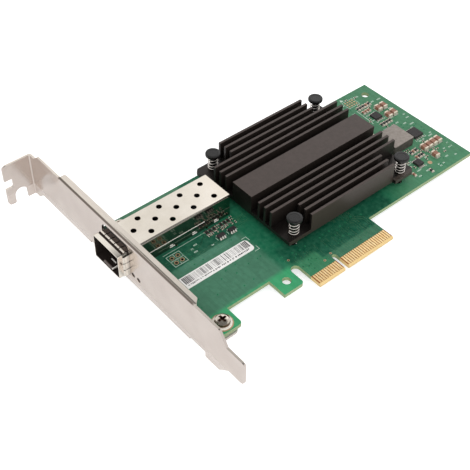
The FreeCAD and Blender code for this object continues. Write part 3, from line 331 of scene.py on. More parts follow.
def cage_material():
    """Bright nickel-plated sheet, in painted deep shade under the bracket's flange and inside the port, its
    side walls painted darker as painted shade.
    """
    look = Look("cage_nickel")
    x, y, z = look.place()
    skin = 0.12
    outside = look.calc("GREATER_THAN", x, CAGE_HIGH.x - skin)
    for value, low, high in ((y, CAGE_LOW.y, CAGE_HIGH.y), (z, FACE, CAGE_HIGH.z)):
        outside = look.most(
            outside, look.calc("LESS_THAN", value, low + skin), look.calc("GREATER_THAN", value, high - skin),
        )
    open_sky = look.ramp(x, FLANGE_EDGE - 0.6, FLANGE_EDGE + 1.4)
    in_front = look.ramp(x, BRACKET_FACE - 0.8, BRACKET_FACE, 1.0, 0.0)
    lit = look.times(outside, look.most(open_sky, in_front))
    # side walls painted darker: painted shade on the walls
    sideways = look.ramp(look.calc("ABSOLUTE", look.normal()[1]), 0.7, 0.9)
    plate = look.mix(look.patches(0.12), (242, 234, 222), (232, 223, 209))
    plate = look.mix(sideways, plate, (148, 145, 137))
    brushed = look.noise(3.0, 3.0, (0.06, 2.0, 1.0))
    rough = look.most(look.ramp(brushed, 0.3, 0.7, 0.09, 0.14), look.ramp(lit, 0.0, 1.0, 0.5, 0.0))
    metallic = look.ramp(lit, 0.0, 1.0, 0.35, 1.0)
    return look.finished(look.mix(lit, (44, 37, 34), plate), rough, brushed, 0.002, metallic)


def collar_material():
    """Bright spring sheet in front of the bracket, in painted deep shade behind it and inside the port, and
    painted dark on the fingers' steep rise; the crest is less metallic, so it renders brighter.
    """
    look = Look("collar_nickel")
    x, _, z = look.place()
    fine = look.noise(4.0, 3.0, (0.2, 1, 1))
    bright = look.mix(look.ramp(fine, 0.3, 0.7), (252, 245, 234), (243, 235, 222))
    shaded = look.mix(look.ramp(fine, 0.35, 0.65), (64, 53, 47), (40, 33, 30))
    foot = (CREST_START - 0.6, CREST_START - 0.5)
    # painted shade: the fingers' rise and their fall behind the bracket, strongest on top
    above = look.ramp(z, CAGE_HIGH.z - 0.3, CAGE_HIGH.z, 0.25, 1.0)
    rise = look.times(look.ramp(x, *foot), look.ramp(x, CREST_START + 0.2, CREST_START + 0.3, 1.0, 0.0))
    fall = look.ramp(x, CREST_END - 0.15, CREST_END + 0.1)
    behind = look.times(above, look.most(fall, rise))
    metallic = look.most(look.ramp(x, *foot, 1.0, 0.25), behind)
    return look.finished(look.mix(behind, bright, shaded), (0.1, 0.16), fine, 0.002, metallic)


def bracket_material():
    """Satin nickel on the face, the flange painted brighter as painted light, with a dark line of painted
    shade where the two are bent.
    """
    look = Look("bracket_nickel")
    _, y, z = look.place()
    upward = look.normal()[2]
    broad = look.patches(0.1, 4.0)
    face = look.mix(broad, (219, 209, 202), (211, 200, 193))
    flange = look.mix(broad, (240, 231, 220), (232, 222, 210))
    # painted shade: a dark line along the top bend
    bend = look.times(
        look.ramp(upward, 0.5, 0.6), look.ramp(upward, 0.9, 0.97, 1.0, 0.0),
        look.ramp(y, FLANGE_START, FLANGE_START + 1.0),
        look.ramp(z, BRACKET_TOP - 2.2, BRACKET_TOP - 1.8), 0.85,
    )
    # upward faces take the brighter flange colour: painted light
    colour = look.mix(look.ramp(upward, 0.8, 0.95), face, flange)
    colour = look.mix(bend, colour, (96, 84, 74))
    metallic = look.ramp(z, BACK, BACK + 0.2, 0.35, 1.0)
    return look.finished(colour, (0.18, 0.24), look.noise(1.2, 3.0, (1, 0.3, 0.3)), 0.003, metallic)


def heatsink_material():
    """Black anodising with painted light and shade: a painted sheen on its tops, painted shade darkening the
    walls towards the bottom between the fins.
    """
    look = Look("black_anodising", Specular_Tint=(1.0, 0.88, 0.82, 1.0))
    _, y, z = look.place()
    along, _, upward = look.normal()
    near_top = SINK_HIGH.z - 0.5
    top = look.times(look.ramp(upward, 0.7, 0.95), look.ramp(z, SINK_HIGH.z - 1.5, near_top))
    end = look.ramp(look.calc("ABSOLUTE", along), 0.7, 0.9)
    vertices = frame["nodes"]["heatsink"].data.vertices
    tops = [v.co.y / MM for v in vertices if v.co.z / MM > near_top]
    outer = look.most(
        look.calc("LESS_THAN", y, min(tops) + 0.15), look.calc("GREATER_THAN", y, max(tops) - 0.15),
    )
    # painted shade: walls darker towards the bottom, the outermost walls painted lighter, the fin ends darker
    wall = look.mix(look.ramp(z, SINK_LOW.z + 2.0, near_top), (12, 10, 9), (36, 31, 28))
    wall = look.mix(outer, wall, (56, 49, 44))
    wall = look.mix(end, wall, (14, 12, 11))
    # painted sheen on the tops
    painted_top_sheen = look.mix(look.patches(0.8, 4.0), (67, 58, 55), (60, 52, 49))
    grain = look.noise(10.0, 3.0, (1, 0.12, 0.3))
    return look.finished(look.mix(top, wall, painted_top_sheen), (0.34, 0.44), grain, 0.006)


def ferrite_material():
    """Pressed iron powder, its sides painted darker than its top as painted shade."""
    look = Look("pressed_ferrite", specular=0.3)
    broad = look.patches(0.8)
    top = look.mix(broad, (156, 147, 140), (140, 132, 125))
    side = look.mix(broad, (84, 79, 74), (70, 66, 62))
    colour = look.mix(look.ramp(look.normal()[2], 0.5, 0.9), side, top)
    return look.finished(colour, (0.5, 0.65), look.noise(8.0), 0.012)


def screw_material():
    """Nickel with painted light and shade: the washer flange and the crown painted bright, the head's side
    and the recess painted dark.
    """
    look = Look("screw_nickel")
    height = look.place()[2]
    fine = look.noise(3.0)
    broad = look.ramp(fine, 0.3, 0.7)
    crown = look.mix(broad, (236, 228, 216), (200, 187, 172))
    side = look.mix(broad, (122, 98, 82), (92, 70, 57))
    flange = look.mix(broad, (252, 247, 236), (244, 237, 224))
    # painted light and shade by height: bright flange, dark side and recess, lighter crown; the flange is
    # nearly not metallic, so it renders bright
    on_head = look.ramp(height, 0.5, 0.6)
    colour = look.mix(on_head, flange, side)
    colour = look.mix(look.ramp(height, 1.55, 1.7), colour, crown)
    return look.finished(colour, (0.1, 0.2), fine, 0.006, look.ramp(on_head, 0.0, 1.0, 0.1, 1.0))


MATERIALS = {
    "board_laminate": board_material(),
    "cage_steel": cage_material(),
    "bracket_steel": bracket_material(),
    "screw_steel": screw_material(),
    "anodised_aluminium": heatsink_material(),
    "inductor_ferrite": ferrite_material(),
    "label_film": finish(
        "label_film", (243, 241, 238), (234, 232, 229), (0.42, 0.55), 1.2, 0.006, specular=0.35,
    ),
    "gold_plating": finish(
        "gold_plating", (254, 228, 174), (246, 210, 150), (0.22, 0.34), 1.5, 0.004,
        (1, 0.15, 1), Metallic=1.0,
    ),
    "spring_steel": finish(
        "spring_steel", (240, 234, 228), (214, 207, 200), (0.07, 0.14), 3.0, 0.002, Metallic=1.0,
    ),
    "tin_plating": finish(
        "matte_tin", (222, 218, 208), (198, 192, 182), (0.3, 0.5), 5.0, 0.01, Metallic=0.85,
    ),
    "pin_plastic": finish("black_nylon", (13, 12, 12), (19, 18, 18), (0.24, 0.34), 2.0, 0.008, specular=0.45),
    "moulding_compound": finish(
        "moulding_compound", (44, 41, 42), (54, 50, 50), (0.45, 0.62), 4.0, 0.012, specular=0.4,
    ),
    "capacitor_ceramic": finish(
        "capacitor_ceramic", (158, 114, 94), (136, 92, 74), (0.32, 0.46), 4.0, 0.008, specular=0.4,
    ),
    "pad_rubber": finish("gap_filler", (150, 150, 158), (132, 132, 142), (0.6, 0.8), 3.0, 0.03),
    "lamp_plastic": finish(
        "smoked_lamp", (84, 74, 66), (58, 50, 45), (0.12, 0.25), 2.0, 0.004,
        Transmission_Weight=0.35, IOR=1.5,
    ),
    "connector_plastic": finish("glass_filled_plastic", (24, 23, 24), (36, 34, 34), (0.4, 0.55), 3.0, 0.012),
}
COLLAR_METAL = collar_material()
SILKSCREEN = finish("silkscreen_ink", (206, 222, 208), (184, 206, 190), (0.5, 0.65), 6.0, 0.006)
MASKED_COPPER = finish("masked_copper", (34, 118, 82), (48, 132, 92), (0.28, 0.4), 2.0, 0.006, specular=0.3)
LABEL_INK = finish("label_ink", (40, 37, 40), (62, 58, 62), (0.5, 0.6), 8.0, 0.004)
RESISTOR_GLAZE = finish("resistor_glaze", (24, 26, 27), (38, 38, 38), (0.25, 0.4), 5.0, 0.006)
CAP_ENDS = finish("fired_terminations", (236, 226, 208), (212, 198, 178), (0.3, 0.5), 5.0, 0.01, Metallic=0.3)
# near-white and barely metallic: partly bright tin, partly a painted highlight on the leads, the cage's hooks
# and seam
BRIGHT_TIN_AND_HIGHLIGHT = finish("bright_tin_painted_highlight", (252, 249, 243), (240, 235, 226), (0.3, 0.45), 5.0, 0.006, Metallic=0.1)
# painted shade: chip ends beside the cage, darker than the others
SHADED_ENDS = finish("shaded_terminations", (124, 108, 96), (92, 78, 68), (0.35, 0.5), 5.0, 0.01, Metallic=0.5)
# darker than the cage's nickel: painted shade on the latch inside the port
LATCH_METAL = finish("latch_metal", (112, 101, 96), (90, 80, 76), (0.3, 0.42), 3.0, 0.004)
BARE_COPPER = finish(
    "tinned_copper", (206, 176, 142), (180, 148, 116), (0.32, 0.48), 4.0, 0.006, Metallic=0.6,
)
HOLE_DARK = finish("hole_shadow", (10, 16, 14), (16, 22, 18), (0.6, 0.8), 5.0, 0.01)

# Nodes whose finish isn't their slot's
OWN_FINISH = {"capacitor_ends": CAP_ENDS, "board_pads": BARE_COPPER, "transistor_leads": BRIGHT_TIN_AND_HIGHLIGHT}


# --- geometry helpers


def new_object(name, data):
    made = bpy.data.objects.new(name, data)
    bpy.context.scene.collection.objects.link(made)
    return made


def new_piece(name, bm, slot, material=None, smooth_angle=None):
    """A mesh built in millimetres, turned into an object that rides on the card."""
    bmesh.ops.recalc_face_normals(bm, faces=bm.faces)
    bmesh.ops.scale(bm, vec=(MM, MM, MM), verts=bm.verts)
    mesh = bpy.data.meshes.new(name)
    bm.to_mesh(mesh)
    bm.free()
    piece = new_object(name, mesh)
    mesh.materials.append(material or MATERIALS[slot])
    if smooth_angle:
        mesh.shade_smooth()
        mesh.set_sharp_from_angle(angle=radians(smooth_angle))
    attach(piece, "root")
    return piece


def middle_of(low, high):
    return (low.x + high.x) / 2, (low.y + high.y) / 2


def loop_at(bm, outline, z):
    return [bm.verts.new((x, y, z)) for x, y in outline]


def walls(bm, *loops):
    """Faces from each closed loop to the next, where a loop may be a single vertex."""
    for a, b in zip(loops, loops[1:]):
        count = max(len(a), len(b))
        for i in range(count):
            j = (i + 1) % count
            corners = a[i % len(a)], a[j % len(a)], b[j % len(b)], b[i % len(b)]
            bm.faces.new(list(dict.fromkeys(corners)))


def closed_walls(bm, *loops):
    walls(bm, *loops)
    bm.faces.new(loops[0])
    bm.faces.new(loops[-1])


def prism(bm, outline, z0, z1):
    """An upright prism over a closed outline of (x, y)."""
    closed_walls(bm, loop_at(bm, outline, z0), loop_at(bm, outline, z1))


def block(bm, low, high, bevel=0.0):
    """A box between two corners, its edges rounded off by bevel."""
    low, high = Vector(low), Vector(high)
    matrix = Matrix.Translation((low + high) / 2) @ Matrix.Diagonal((*(high - low), 1))
    made = bmesh.ops.create_cube(bm, size=1.0, matrix=matrix)
    if bevel:
        edges = list({e for v in made["verts"] for e in v.link_edges})
        bmesh.ops.bevel(bm, geom=edges, offset=bevel, segments=2, profile=0.6, affect="EDGES")


def circle(centre, radius, count):
    angles = [2 * pi * i / count for i in range(count)]
    return [(centre[0] + radius * cos(a), centre[1] + radius * sin(a)) for a in angles]


def ring(bm, centre, inner, outer, z0, z1, count=20):
    """A flat washer."""
    corners = ((inner, z0), (outer, z0), (outer, z1), (inner, z1))
    loops = [loop_at(bm, circle(centre, radius, count), z) for radius, z in corners]
    walls(bm, *loops, loops[0])


def lathe(bm, profile, place, count):
    """A body turned about an upright axis; profile is (r, z) from the axis to the axis."""
    walls(bm, *(loop_at(bm, circle(place, r, count) if r else [place], z) for r, z in profile))


def tube(bm, path, radius, sides=8):
    """A round wire along a list of points, closed at both ends."""
    loops = []
    for behind, point, ahead in zip(path[:1] + path, path, path[1:] + path[-1:]):
        forward = (Vector(ahead) - Vector(behind)).normalized()
        side = forward.cross(Vector((0, 0, 1))).normalized()
        up = side.cross(forward)
        around = circle((0, 0), radius, sides)
        loops.append([bm.verts.new(Vector(point) + side * u + up * v) for u, v in around])
    closed_walls(bm, *loops)


def stroke(bm, points, width, z0, z1):
    """A flat line through points of the board, mitred at its corners."""
    left, right = [], []
    points = [Vector(point) for point in points]
    steps = [(b - a).normalized() for a, b in zip(points, points[1:])]
    for here, before, after in zip(points, steps[:1] + steps, steps + steps[-1:]):
        across = (before + after).normalized().orthogonal()
        reach = width / 2 / max(across.dot(after.orthogonal()), 0.5)
        left.append(here + across * reach)
        right.append(here - across * reach)
    prism(bm, right + left[::-1], z0, z1)


def frame_line(bm, low, high, gap, width, z0, z1):
    """Four strokes round a rectangle, a gap outside it, that meet without crossing."""
    h = width / 2
    x0, y0, x1, y1 = low[0] - gap, low[1] - gap, high[0] + gap, high[1] + gap
    for y in (y0, y1):
        block(bm, (x0 - h, y - h, z0), (x1 + h, y + h, z1))
    for x in (x0, x1):
        block(bm, (x - h, y0 + h, z0), (x + h, y1 - h, z1))


def dress(node, slot, bevel):
    """Gives a CAD node its material, and softens its sharp edges."""
    piece = frame["nodes"][node]
    material = OWN_FINISH.get(node, MATERIALS[slot])
    held = piece.data.materials
    for i in range(len(held)):
        held[i] = material
    if not held:
        held.append(material)
    if not bevel:
        return
    new = piece.modifiers.new
    configured(new("weld", "WELD"), merge_threshold=1e-6)
    configured(new("flat", "DECIMATE"), decimate_type="DISSOLVE", angle_limit=radians(0.5))
    configured(
        new("bevel", "BEVEL"), width=bevel * MM, segments=2, limit_method="ANGLE",
        angle_limit=radians(32), miter_outer="MITER_ARC",
    )


# --- camera, light and floor


def set_camera():
    turn = Euler((radians(45.479), 0, radians(-39.683))).to_matrix()
    place = turn @ Vector((-42.254, 15.077, 322.135)) * MM
    camera = new_object("camera", configured(
        bpy.data.cameras.new("camera"), sensor_width=36.0, lens=72.86, shift_x=0.0256, shift_y=-0.0268,
        clip_start=0.01,
    ))
    camera.matrix_world = Matrix.Translation(place) @ turn.to_4x4()
    bpy.context.scene.camera = camera


def set_world():
    """White all round; mirrored rays see a darker sky overhead, and one bright window in it."""
    world = configured(bpy.data.worlds.new("studio"), use_nodes=True)
    bpy.context.scene.world = world
    look = Nodes(world.node_tree)
    inputs = look.tree.nodes["Background"].inputs
    direction = look.add("ShaderNodeTexCoord").outputs["Generated"]
    window = Vector((0.7, 0.46, 0.545)).normalized()
    toward = look.add("ShaderNodeVectorMath", {0: direction, 1: window}, operation="DOT_PRODUCT")
    bright = look.times(look.ramp(toward.outputs["Value"], 0.945, 0.995), 0.6)
    sky = look.ramp(look.axes(direction)[2], 0.73, 0.82, 0.9, 0.2)
    seen, glossy = look.rays()
    mirrored = look.times(glossy, look.calc("ADD", sky, bright))
    strength = look.calc("ADD", mirrored, look.ramp(glossy, 0.0, 1.0, 0.68, 0.0))
    inputs["Color"].default_value = (1, 1, 1, 1)
    look.put(look.most(strength, seen), inputs["Strength"])


def set_lamp():
    """A large square lamp that faces the card, kept out of mirror reflections."""
    centre = Vector((10, 45, 0)) * MM
    data = bpy.data.lights.new("key_lamp", "AREA")
    lamp = new_object("key_lamp", configured(data, shape="SQUARE", size=0.7, energy=5.0))
    lamp.location = centre + Vector((-0.45, -0.55, 0.8)).normalized() * 0.9
    lamp.rotation_euler = (centre - lamp.location).to_track_quat("-Z", "Y").to_euler()
    lamp.visible_glossy = False


def make_floor():
    """A pale floor under the card, which keeps a soft shadow. Its sizes are in metres."""
    reach, gap = 2.5, 0.0002
    middle = (cad_bounds[0] + cad_bounds[1]) / 2
    corners = [(-1, -1), (1, -1), (1, 1), (-1, 1)]
    verts = [(middle.x + u * reach, middle.y + v * reach, cad_bounds[0].z - gap) for u, v in corners]
    mesh = bpy.data.meshes.new("floor")
    mesh.from_pydata(verts, [], [(0, 1, 2, 3)])
    floor = new_object("floor", mesh)
    material = configured(bpy.data.materials.new("pale_floor"), use_nodes=True)
    look = Nodes(material.node_tree)
    look.tree.nodes.clear()
    grain = look.ramp(look.noise(0.01, 2.0), 0.3, 0.7)
    matt = look.add("ShaderNodeBsdfDiffuse", {"Color": look.mix(grain, (236, 236, 236), (240, 240, 240))})
    seen, glossy = look.rays()
    strength = look.times(look.most(seen, look.times(glossy, 0.12)), 0.62)
    glow = look.add("ShaderNodeEmission", {"Color": (1, 1, 1, 1), "Strength": strength})
    total = look.add("ShaderNodeAddShader", {0: matt.outputs[0], 1: glow.outputs[0]})
    look.add("ShaderNodeOutputMaterial", {"Surface": total.outputs[0]})
    mesh.materials.append(material)


# --- springs, pins, screws and collar


def make_springs():
    """Round-wire compression springs with closed ends."""
    bm = bmesh.new()
    wire, turns, flat, steps = 0.24, 3.6, 0.75, 24
    for low, high in islands("pin_springs"):
        x, y = middle_of(low, high)
        radius = (high.x - low.x) / 2 - wire - 0.02
        bottom, top = low.z + wire, high.z - wire
        path = []
        for i in range(int((turns + 2 * flat) * steps) + 1):
            t = i / steps
            rise = min(max((t - flat) / turns, 0.0), 1.0)
            z = min(bottom + 0.6 * wire * min(t, flat) + (top - bottom - 0.3) * rise, top)
            angle = 2 * pi * t
            path.append((x + radius * cos(angle), y + radius * sin(angle), z))
        tube(bm, path, wire)
    piece = new_piece("pin_spring_coils", bm, "spring_steel", smooth_angle=50)
    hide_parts("pin_springs")


def make_pins():
    """Push pins: a crowned head, a shouldered shank and two barbed prongs below the board."""
    bm = bmesh.new()
    rim, dish, shank, barb, tip, half_slot = 0.35, 0.12, 1.15, 1.9, 0.7, 0.3
    under = SINK_HIGH.z - 1.2
    barb_top, fork, steps = BACK - 0.1, BACK / 2, 12

    def section(x, y, z, r, side):
        """A prong's outline: the part of a disc on one side of the slot."""
        start = asin(half_slot / r)
        angles = [start + (pi - 2 * start) * k / steps for k in range(steps + 1)]
        return loop_at(bm, [(x + r * cos(a), y + side * r * sin(a)) for a in angles], z)

    for low, high in islands("push_pins"):
        x, y = middle_of(low, high)
        head, top = (high.x - low.x) / 2, high.z
        profile = [(0, top - dish), (head * 0.62, top - dish), (head * 0.66, top), (head - rim, top)]
        for k in range(1, 5):
            angle = pi / 2 * k / 4
            profile.append((head - rim + rim * sin(angle), top - rim + rim * cos(angle)))
        profile += [(head, under + 0.12), (head - 0.12, under), (shank, under), (shank, fork), (0, fork)]
        lathe(bm, profile, (x, y), 48)
        for side in (-1, 1):
            for ends in (((barb_top, shank), (fork, shank)), ((low.z, tip), (barb_top, barb))):
                closed_walls(bm, *(section(x, y, z, r, side) for z, r in ends))
    piece = new_piece("push_pin_bodies", bm, "pin_plastic", smooth_angle=40)
    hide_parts("push_pins")


def make_screws():
    """Pan-head screws with a washer flange, a cross recess and a threaded shank."""
    bm = bmesh.new()
    sides, rows = 96, 26
    flange, flange_top, head, crown, depth = 3.3, 0.5, 2.6, 2.2, 1.05
    arm, half = 1.55, 0.36
    shank, thread, pitch = 1.42, 0.14, 0.4
    domed = head - 0.15

    def dome(r):
        return crown - 0.62 * (r / head) ** 3.2

    def surface(x, y):
        """Height of the head's top: a low dome less the cross cut into it."""
        along, across = max(abs(x), abs(y)), min(abs(x), abs(y))
        slope = min(max((arm - along) / 0.3, 0.0), 1.0)
        wall = min(max((half + 0.1 - across) / 0.14, 0.0), 1.0)
        return FACE + dome(hypot(x, y)) - depth * slope * wall

    for low, high in islands("bracket_screws"):
        place = middle_of(low, high)
        loops = [[bm.verts.new((*place, surface(0.0, 0.0)))]]
        for k in range(1, rows + 1):
            points = circle((0, 0), domed * k / rows, sides)
            loops.append([bm.verts.new((place[0] + u, place[1] + v, surface(u, v))) for u, v in points])
        rim = dome(domed)
        outer = [
            (head - 0.04, rim - 0.06), (head, rim - 0.2), (head, flange_top + 0.12),
            (head + 0.12, flange_top), (flange - 0.1, flange_top), (flange, flange_top - 0.1),
            (flange, 0.0), (shank, 0.0),
        ]
        z = -0.2
        while z > low.z + 0.5:
            outer += [(shank, z), (shank - thread, z - 0.18), (shank, z - 0.36)]
            z -= pitch
        outer += [(shank - 0.3, low.z)]
        loops += [loop_at(bm, circle(place, r, sides), FACE + z) for r, z in outer]
        bm.faces.new(loops[-1])
        walls(bm, *loops)
    piece = new_piece("bracket_screw_bodies", bm, "screw_steel", smooth_angle=32)
    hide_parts("bracket_screws")


def make_collar():
    """The port's spring collar, its fingers bowed in smooth arcs."""
    bm = bmesh.new()
    sheet, band, slit, rise, corner, edge = 0.2, 1.8, 0.42, 0.5, 0.5, 0.45
    round_off = 0.06
    front, end = COLLAR_LOW.x, COLLAR_HIGH.x
    low_y, high_y, tall = CAGE_LOW.y, CAGE_HIGH.y, CAGE_HIGH.z

    def band_loop(x, out):
        """A rounded rectangle round the cage, a distance outside it."""
        centres = (
            (high_y - corner, corner, -90), (high_y - corner, tall - corner, 0),
            (low_y + corner, tall - corner, 90), (low_y + corner, corner, 180),
        )
        points, r = [], corner + out
        for y, z, start in centres:
            for k in range(6):
                angle = radians(start + 18 * k)
                points.append(bm.verts.new((x, y + r * cos(angle), z + r * sin(angle))))
        return points

    profile = (
        (round_off, 0.0), (0.0, round_off), (0.0, sheet - round_off), (round_off, sheet), (band, sheet),
        (band, 0.0),
    )
    loops = [band_loop(front + x, out) for x, out in profile]
    walls(bm, *loops, loops[0])
    start = front + band - 0.02
    crest = COLLAR_HIGH.z - tall - sheet

    def section(flat):
        """The finger's middle line: a steep rise, a flat crest and a fall to the cage."""
        fall = end - start - rise - flat
        steps = [rise * k / 6 for k in range(6)] + [rise + flat * k / 3 for k in range(3)]
        steps += [rise + flat + fall * k / 6 for k in range(7)]
        points = []
        for u in steps:
            ahead = min(u / rise, 1.0)
            behind = min(max((u - rise - flat) / fall, 0.0), 1.0)
            lift = crest * (0.5 - 0.5 * cos(pi * ahead) - behind)
            points.append((start + u, max(lift, 0.0)))
        return points

    def finger(to_space, low, high, flat):
        loops = []
        for u, v in section(flat):
            corners = (v, low), (v, high), (v + sheet, high), (v + sheet, low)
            loops.append([bm.verts.new(to_space(u, lift, w)) for lift, w in corners])
        closed_walls(bm, *loops)

    def split(low, high, fingers):
        pitch = (high - low + slit) / fingers
        return [(low + i * pitch, low + (i + 1) * pitch - slit) for i in range(fingers)]

    short, long = CREST_END - CREST_START, 2.3
    for a, b in split(low_y + edge, high_y - edge, 5):
        finger(lambda u, v, w: (u, w, tall + v), a, b, short)
        finger(lambda u, v, w: (u, w, -v), a, b, short)
    for a, b in split(0.0, tall - 1.1, 3):
        finger(lambda u, v, w: (u, high_y + v, w), a, b, long)
        finger(lambda u, v, w: (u, low_y - v, w), a, b, long)
    piece = new_piece("port_collar_fingers", bm, "spring_steel", COLLAR_METAL, 35)
    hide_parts("port_spring_collar")


# --- small parts


def make_chip_parts():
    """Chip resistors and capacitors with tinned ends, in place of the plain CAD blocks."""
    glazed, ceramic, ends, shaded_tips = bmesh.new(), bmesh.new(), bmesh.new(), bmesh.new()
    inset = 0.03
    for node in ("chip_parts", "decoupling_capacitors"):
        on_face = node == "chip_parts"
        for i, (low, high) in enumerate(islands(node)):
            by_cage = on_face and low.x < SINK_LOW.x
            body = glazed if by_cage or ((i * 7) % 3 and on_face) else ceramic
            block(
                body, (low.x + inset, low.y + CHIP_END, low.z + inset),
                (high.x - inset, high.y - CHIP_END, high.z - inset),
            )
            # parts beside the cage get the ends of painted shade
            tips = shaded_tips if by_cage else ends
            block(tips, low, (high.x, low.y + CHIP_END, high.z), 0.06)
            block(tips, (low.x, high.y - CHIP_END, low.z), high, 0.06)
    dark = new_piece("chip_resistor_bodies", glazed, "moulding_compound", RESISTOR_GLAZE)
    tan = new_piece("chip_capacitor_bodies", ceramic, "capacitor_ceramic")
    new_piece("chip_part_ends", ends, "tin_plating", CAP_ENDS)
    new_piece("chip_part_ends_shaded", shaded_tips, "tin_plating", SHADED_ENDS)
    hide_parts("chip_parts")
    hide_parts("decoupling_capacitors")


def make_tiny_parts():
    """The smallest chip parts, scattered round the power parts and beside the cage."""
    bodies, ends = bmesh.new(), bmesh.new()
    keep = face_boxes() + [(SINK_LOW, SINK_HIGH), hole_box("tail_hole", TAIL_CLEAR)]
    areas = (
        (26, (SINK_HIGH.x + 1.5, INDUCTOR_HIGH.y + 2), (BOARD_HIGH.x - 9, BOARD_HIGH.y - 3)),
        (16, (SINK_HIGH.x + 3.5, 18), (BOARD_HIGH.x - 7, INDUCTOR_LOW.y - 1)),
        (12, (LABEL_HIGH.x - 9, 40.5), (SINK_LOW.x - 2, CAGE_LOW.y - 1)),
    )
    places = [p for count, low, high in areas for p in free_places(count, low, high, keep, 0.75)]
    half, side, tall, cap = 0.5, 0.25, 0.35, 0.25
    for i, (x, y) in enumerate(places):
        for target, start, end in (
            (ends, -half, cap - half), (bodies, cap - half, half - cap), (ends, half - cap, half),
        ):
            low, high = (start, -side), (end, side)
            if i % 3 == 0:
                low, high = low[::-1], high[::-1]
            block(target, (x + low[0], y + low[1], FACE), (x + high[0], y + high[1], FACE + tall))
    new_piece("tiny_chip_bodies", bodies, "moulding_compound", RESISTOR_GLAZE)
    new_piece("tiny_chip_ends", ends, "tin_plating", CAP_ENDS)


def make_solder():
    """Fillets round the soldered ends, and joints on the cage's pins below the board."""
    bm = bmesh.new()

    def fillet(x0, y0, x1, y1, z, rise, run=0.22):
        inner = [(x0, y0), (x1, y0), (x1, y1), (x0, y1)]
        x0, y0, x1, y1 = x0 - run, y0 - run, x1 + run, y1 + run
        outer = [(x0, y0), (x1, y0), (x1, y1), (x0, y1)]
        loops = [loop_at(bm, outer, z), loop_at(bm, inner, z + rise), loop_at(bm, inner, z)]
        walls(bm, *loops, loops[0])

    for node, rise in (("capacitor_ends", 0.5), ("package_leads", 0.1), ("transistor_leads", 0.1)):
        for low, high in islands(node):
            fillet(low.x, low.y, high.x, high.y, FACE, rise)
    for node, z, rise in (("chip_parts", FACE, 0.22), ("decoupling_capacitors", BACK, -0.22)):
        for low, high in islands(node):
            fillet(low.x, low.y, high.x, low.y + CHIP_END, z, rise)
            fillet(low.x, high.y - CHIP_END, high.x, high.y, z, rise)
    drop = ((0, 0.62), (0.42, 0.6), (0.55, 0.3), (0.95, 0.04), (1.0, 0.0), (0, 0.0))
    inset = 10.5  # of the outer pins, from the cage's mouth and back
    first, last = CAGE_LOW.x + inset, CAGE_HIGH.x - inset
    for x in (first, (first + last) / 2, last):
        for y in (CAGE_LOW.y + 0.125, CAGE_HIGH.y - 0.125):
            lathe(bm, [(r, BACK - depth) for r, depth in drop], (x, y), 20)
    new_piece("solder_joints", bm, "tin_plating", smooth_angle=60)


# --- the board's faces


def make_traces():
    """Traces under the mask: pairs from the card edge to the controller, and short runs."""
    bm = bmesh.new()

    def front(*points, width=0.2):
        stroke(bm, points, width, FACE, FACE + COPPER)

    def back(*points):
        stroke(bm, points, 0.22, BACK - COPPER, BACK)

    pads = [(middle_of(*box)[0], box[1].y) for box in islands("edge_contacts_front")]
    middle = len(pads) / 2
    goal_x, goal_y = (CHIP_LOW.x + CHIP_HIGH.x) / 2 - 8.0, SINK_LOW.y + 4.0
    for i, (x, y) in enumerate(pads):
        if i % 5 == 4:
            continue
        target = goal_x + (i - middle) * 0.5
        turn = TABS_END + 0.5 + (abs(middle - i) % 7) * 0.3
        drop = min(abs(target - x), goal_y - turn - 0.5)
        step = drop if target > x else -drop
        bends = [(x, turn), (x + step, turn + drop), (x + step, goal_y)] if drop >= 0.1 else [(x, goal_y)]
        front((x, y), *bends, width=0.22)
    left = BOARD_LOW.x
    for k in range(3):
        y = CAGE_LOW.y - 4.3 - k * 0.62
        front((left + 1.5, y), (left + 27.0 - k, y), (left + 29.0 - k, y + 2.0), (SINK_LOW.x + 3, y + 2.0))
    for k in range(5):
        x, y = left + 14 + k * 1.1, LABEL_HIGH.y + 2.6 + k * 0.75
        front((x, y), (x + 20, y), (x + 24, y + 4), (SINK_LOW.x + 2, y + 4))
    for k in range(6):
        x, y = SINK_HIGH.x - 1.5, BOARD_HIGH.y - 9 - k * 0.8
        front((x, y), (x + 7, y), (x + 9, y - 2), (x + 12 + k, y - 2))
    for k in range(4):
        x = BOARD_HIGH.x - 2.2 - k * 0.7
        front((x, 16.0 + k), (x, 22.0 + k), (x - 2.5, 24.5 + k))
    for k in range(16):
        x = CHIP_LOW.x - 6 + k * 2.3
        y = (8.0 if x < PADS_HIGH.x - 1 else TABS_END + 1.0) + (k % 4) * 0.7
        jog = 1.5 + (k % 3)
        back((x, y), (x, y + 12), (x + jog, y + 12 + jog), (x + jog, CHIP_LOW.y + 3))
    for k in range(9):
        x, y = CAGE_HIGH.x, CAGE_LOW.y + 1 + k * 1.2
        back((x - 8, y), (x + 2, y), (x + 5, y - 3), (CHIP_LOW.x + 2, y - 3))
    new_piece("masked_traces", bm, "board_laminate")


def free_places(count, low, high, keep_clear, gap=0.8):
    """Scattered places in a rectangle, clear of the given boxes and of each other."""
    found = []
    tries = 0
    while len(found) < count and tries < count * 40:
        tries += 1
        x, y = (random.uniform(*ends) for ends in zip(low, high))
        crowded = any(abs(x - u) < 1.1 and abs(y - v) < 1.1 for u, v in found)
        if not crowded and not near_any(x, y, keep_clear, gap):
            found.append((x, y))
    return found


def near_any(x, y, boxes, gap):
    return any(a.x - gap < x < b.x + gap and a.y - gap < y < b.y + gap for a, b in boxes)


def hole_box(mount, reach):
    """A square round a mount's hole."""
    x, y, _ = MOUNTS[mount]
    return Vector((x - reach, y - reach, 0)), Vector((x + reach, y + reach, 0))


def face_boxes():
    """What stands on the board's face, for print and small parts to keep clear of."""
    nodes = ("port_cage_cover", "barcode_label", "power_inductor", "power_mosfet", "regulator_chip",
             "supervisor_chip")
    groups = ("capacitor_bodies", "capacitor_ends", "chip_parts", "transistor_bodies", "transistor_leads",
              "board_pads", "package_leads", "bracket_screws", "status_lamps")
    return [box_mm(node) for node in nodes] + [box for node in groups for box in islands(node)]


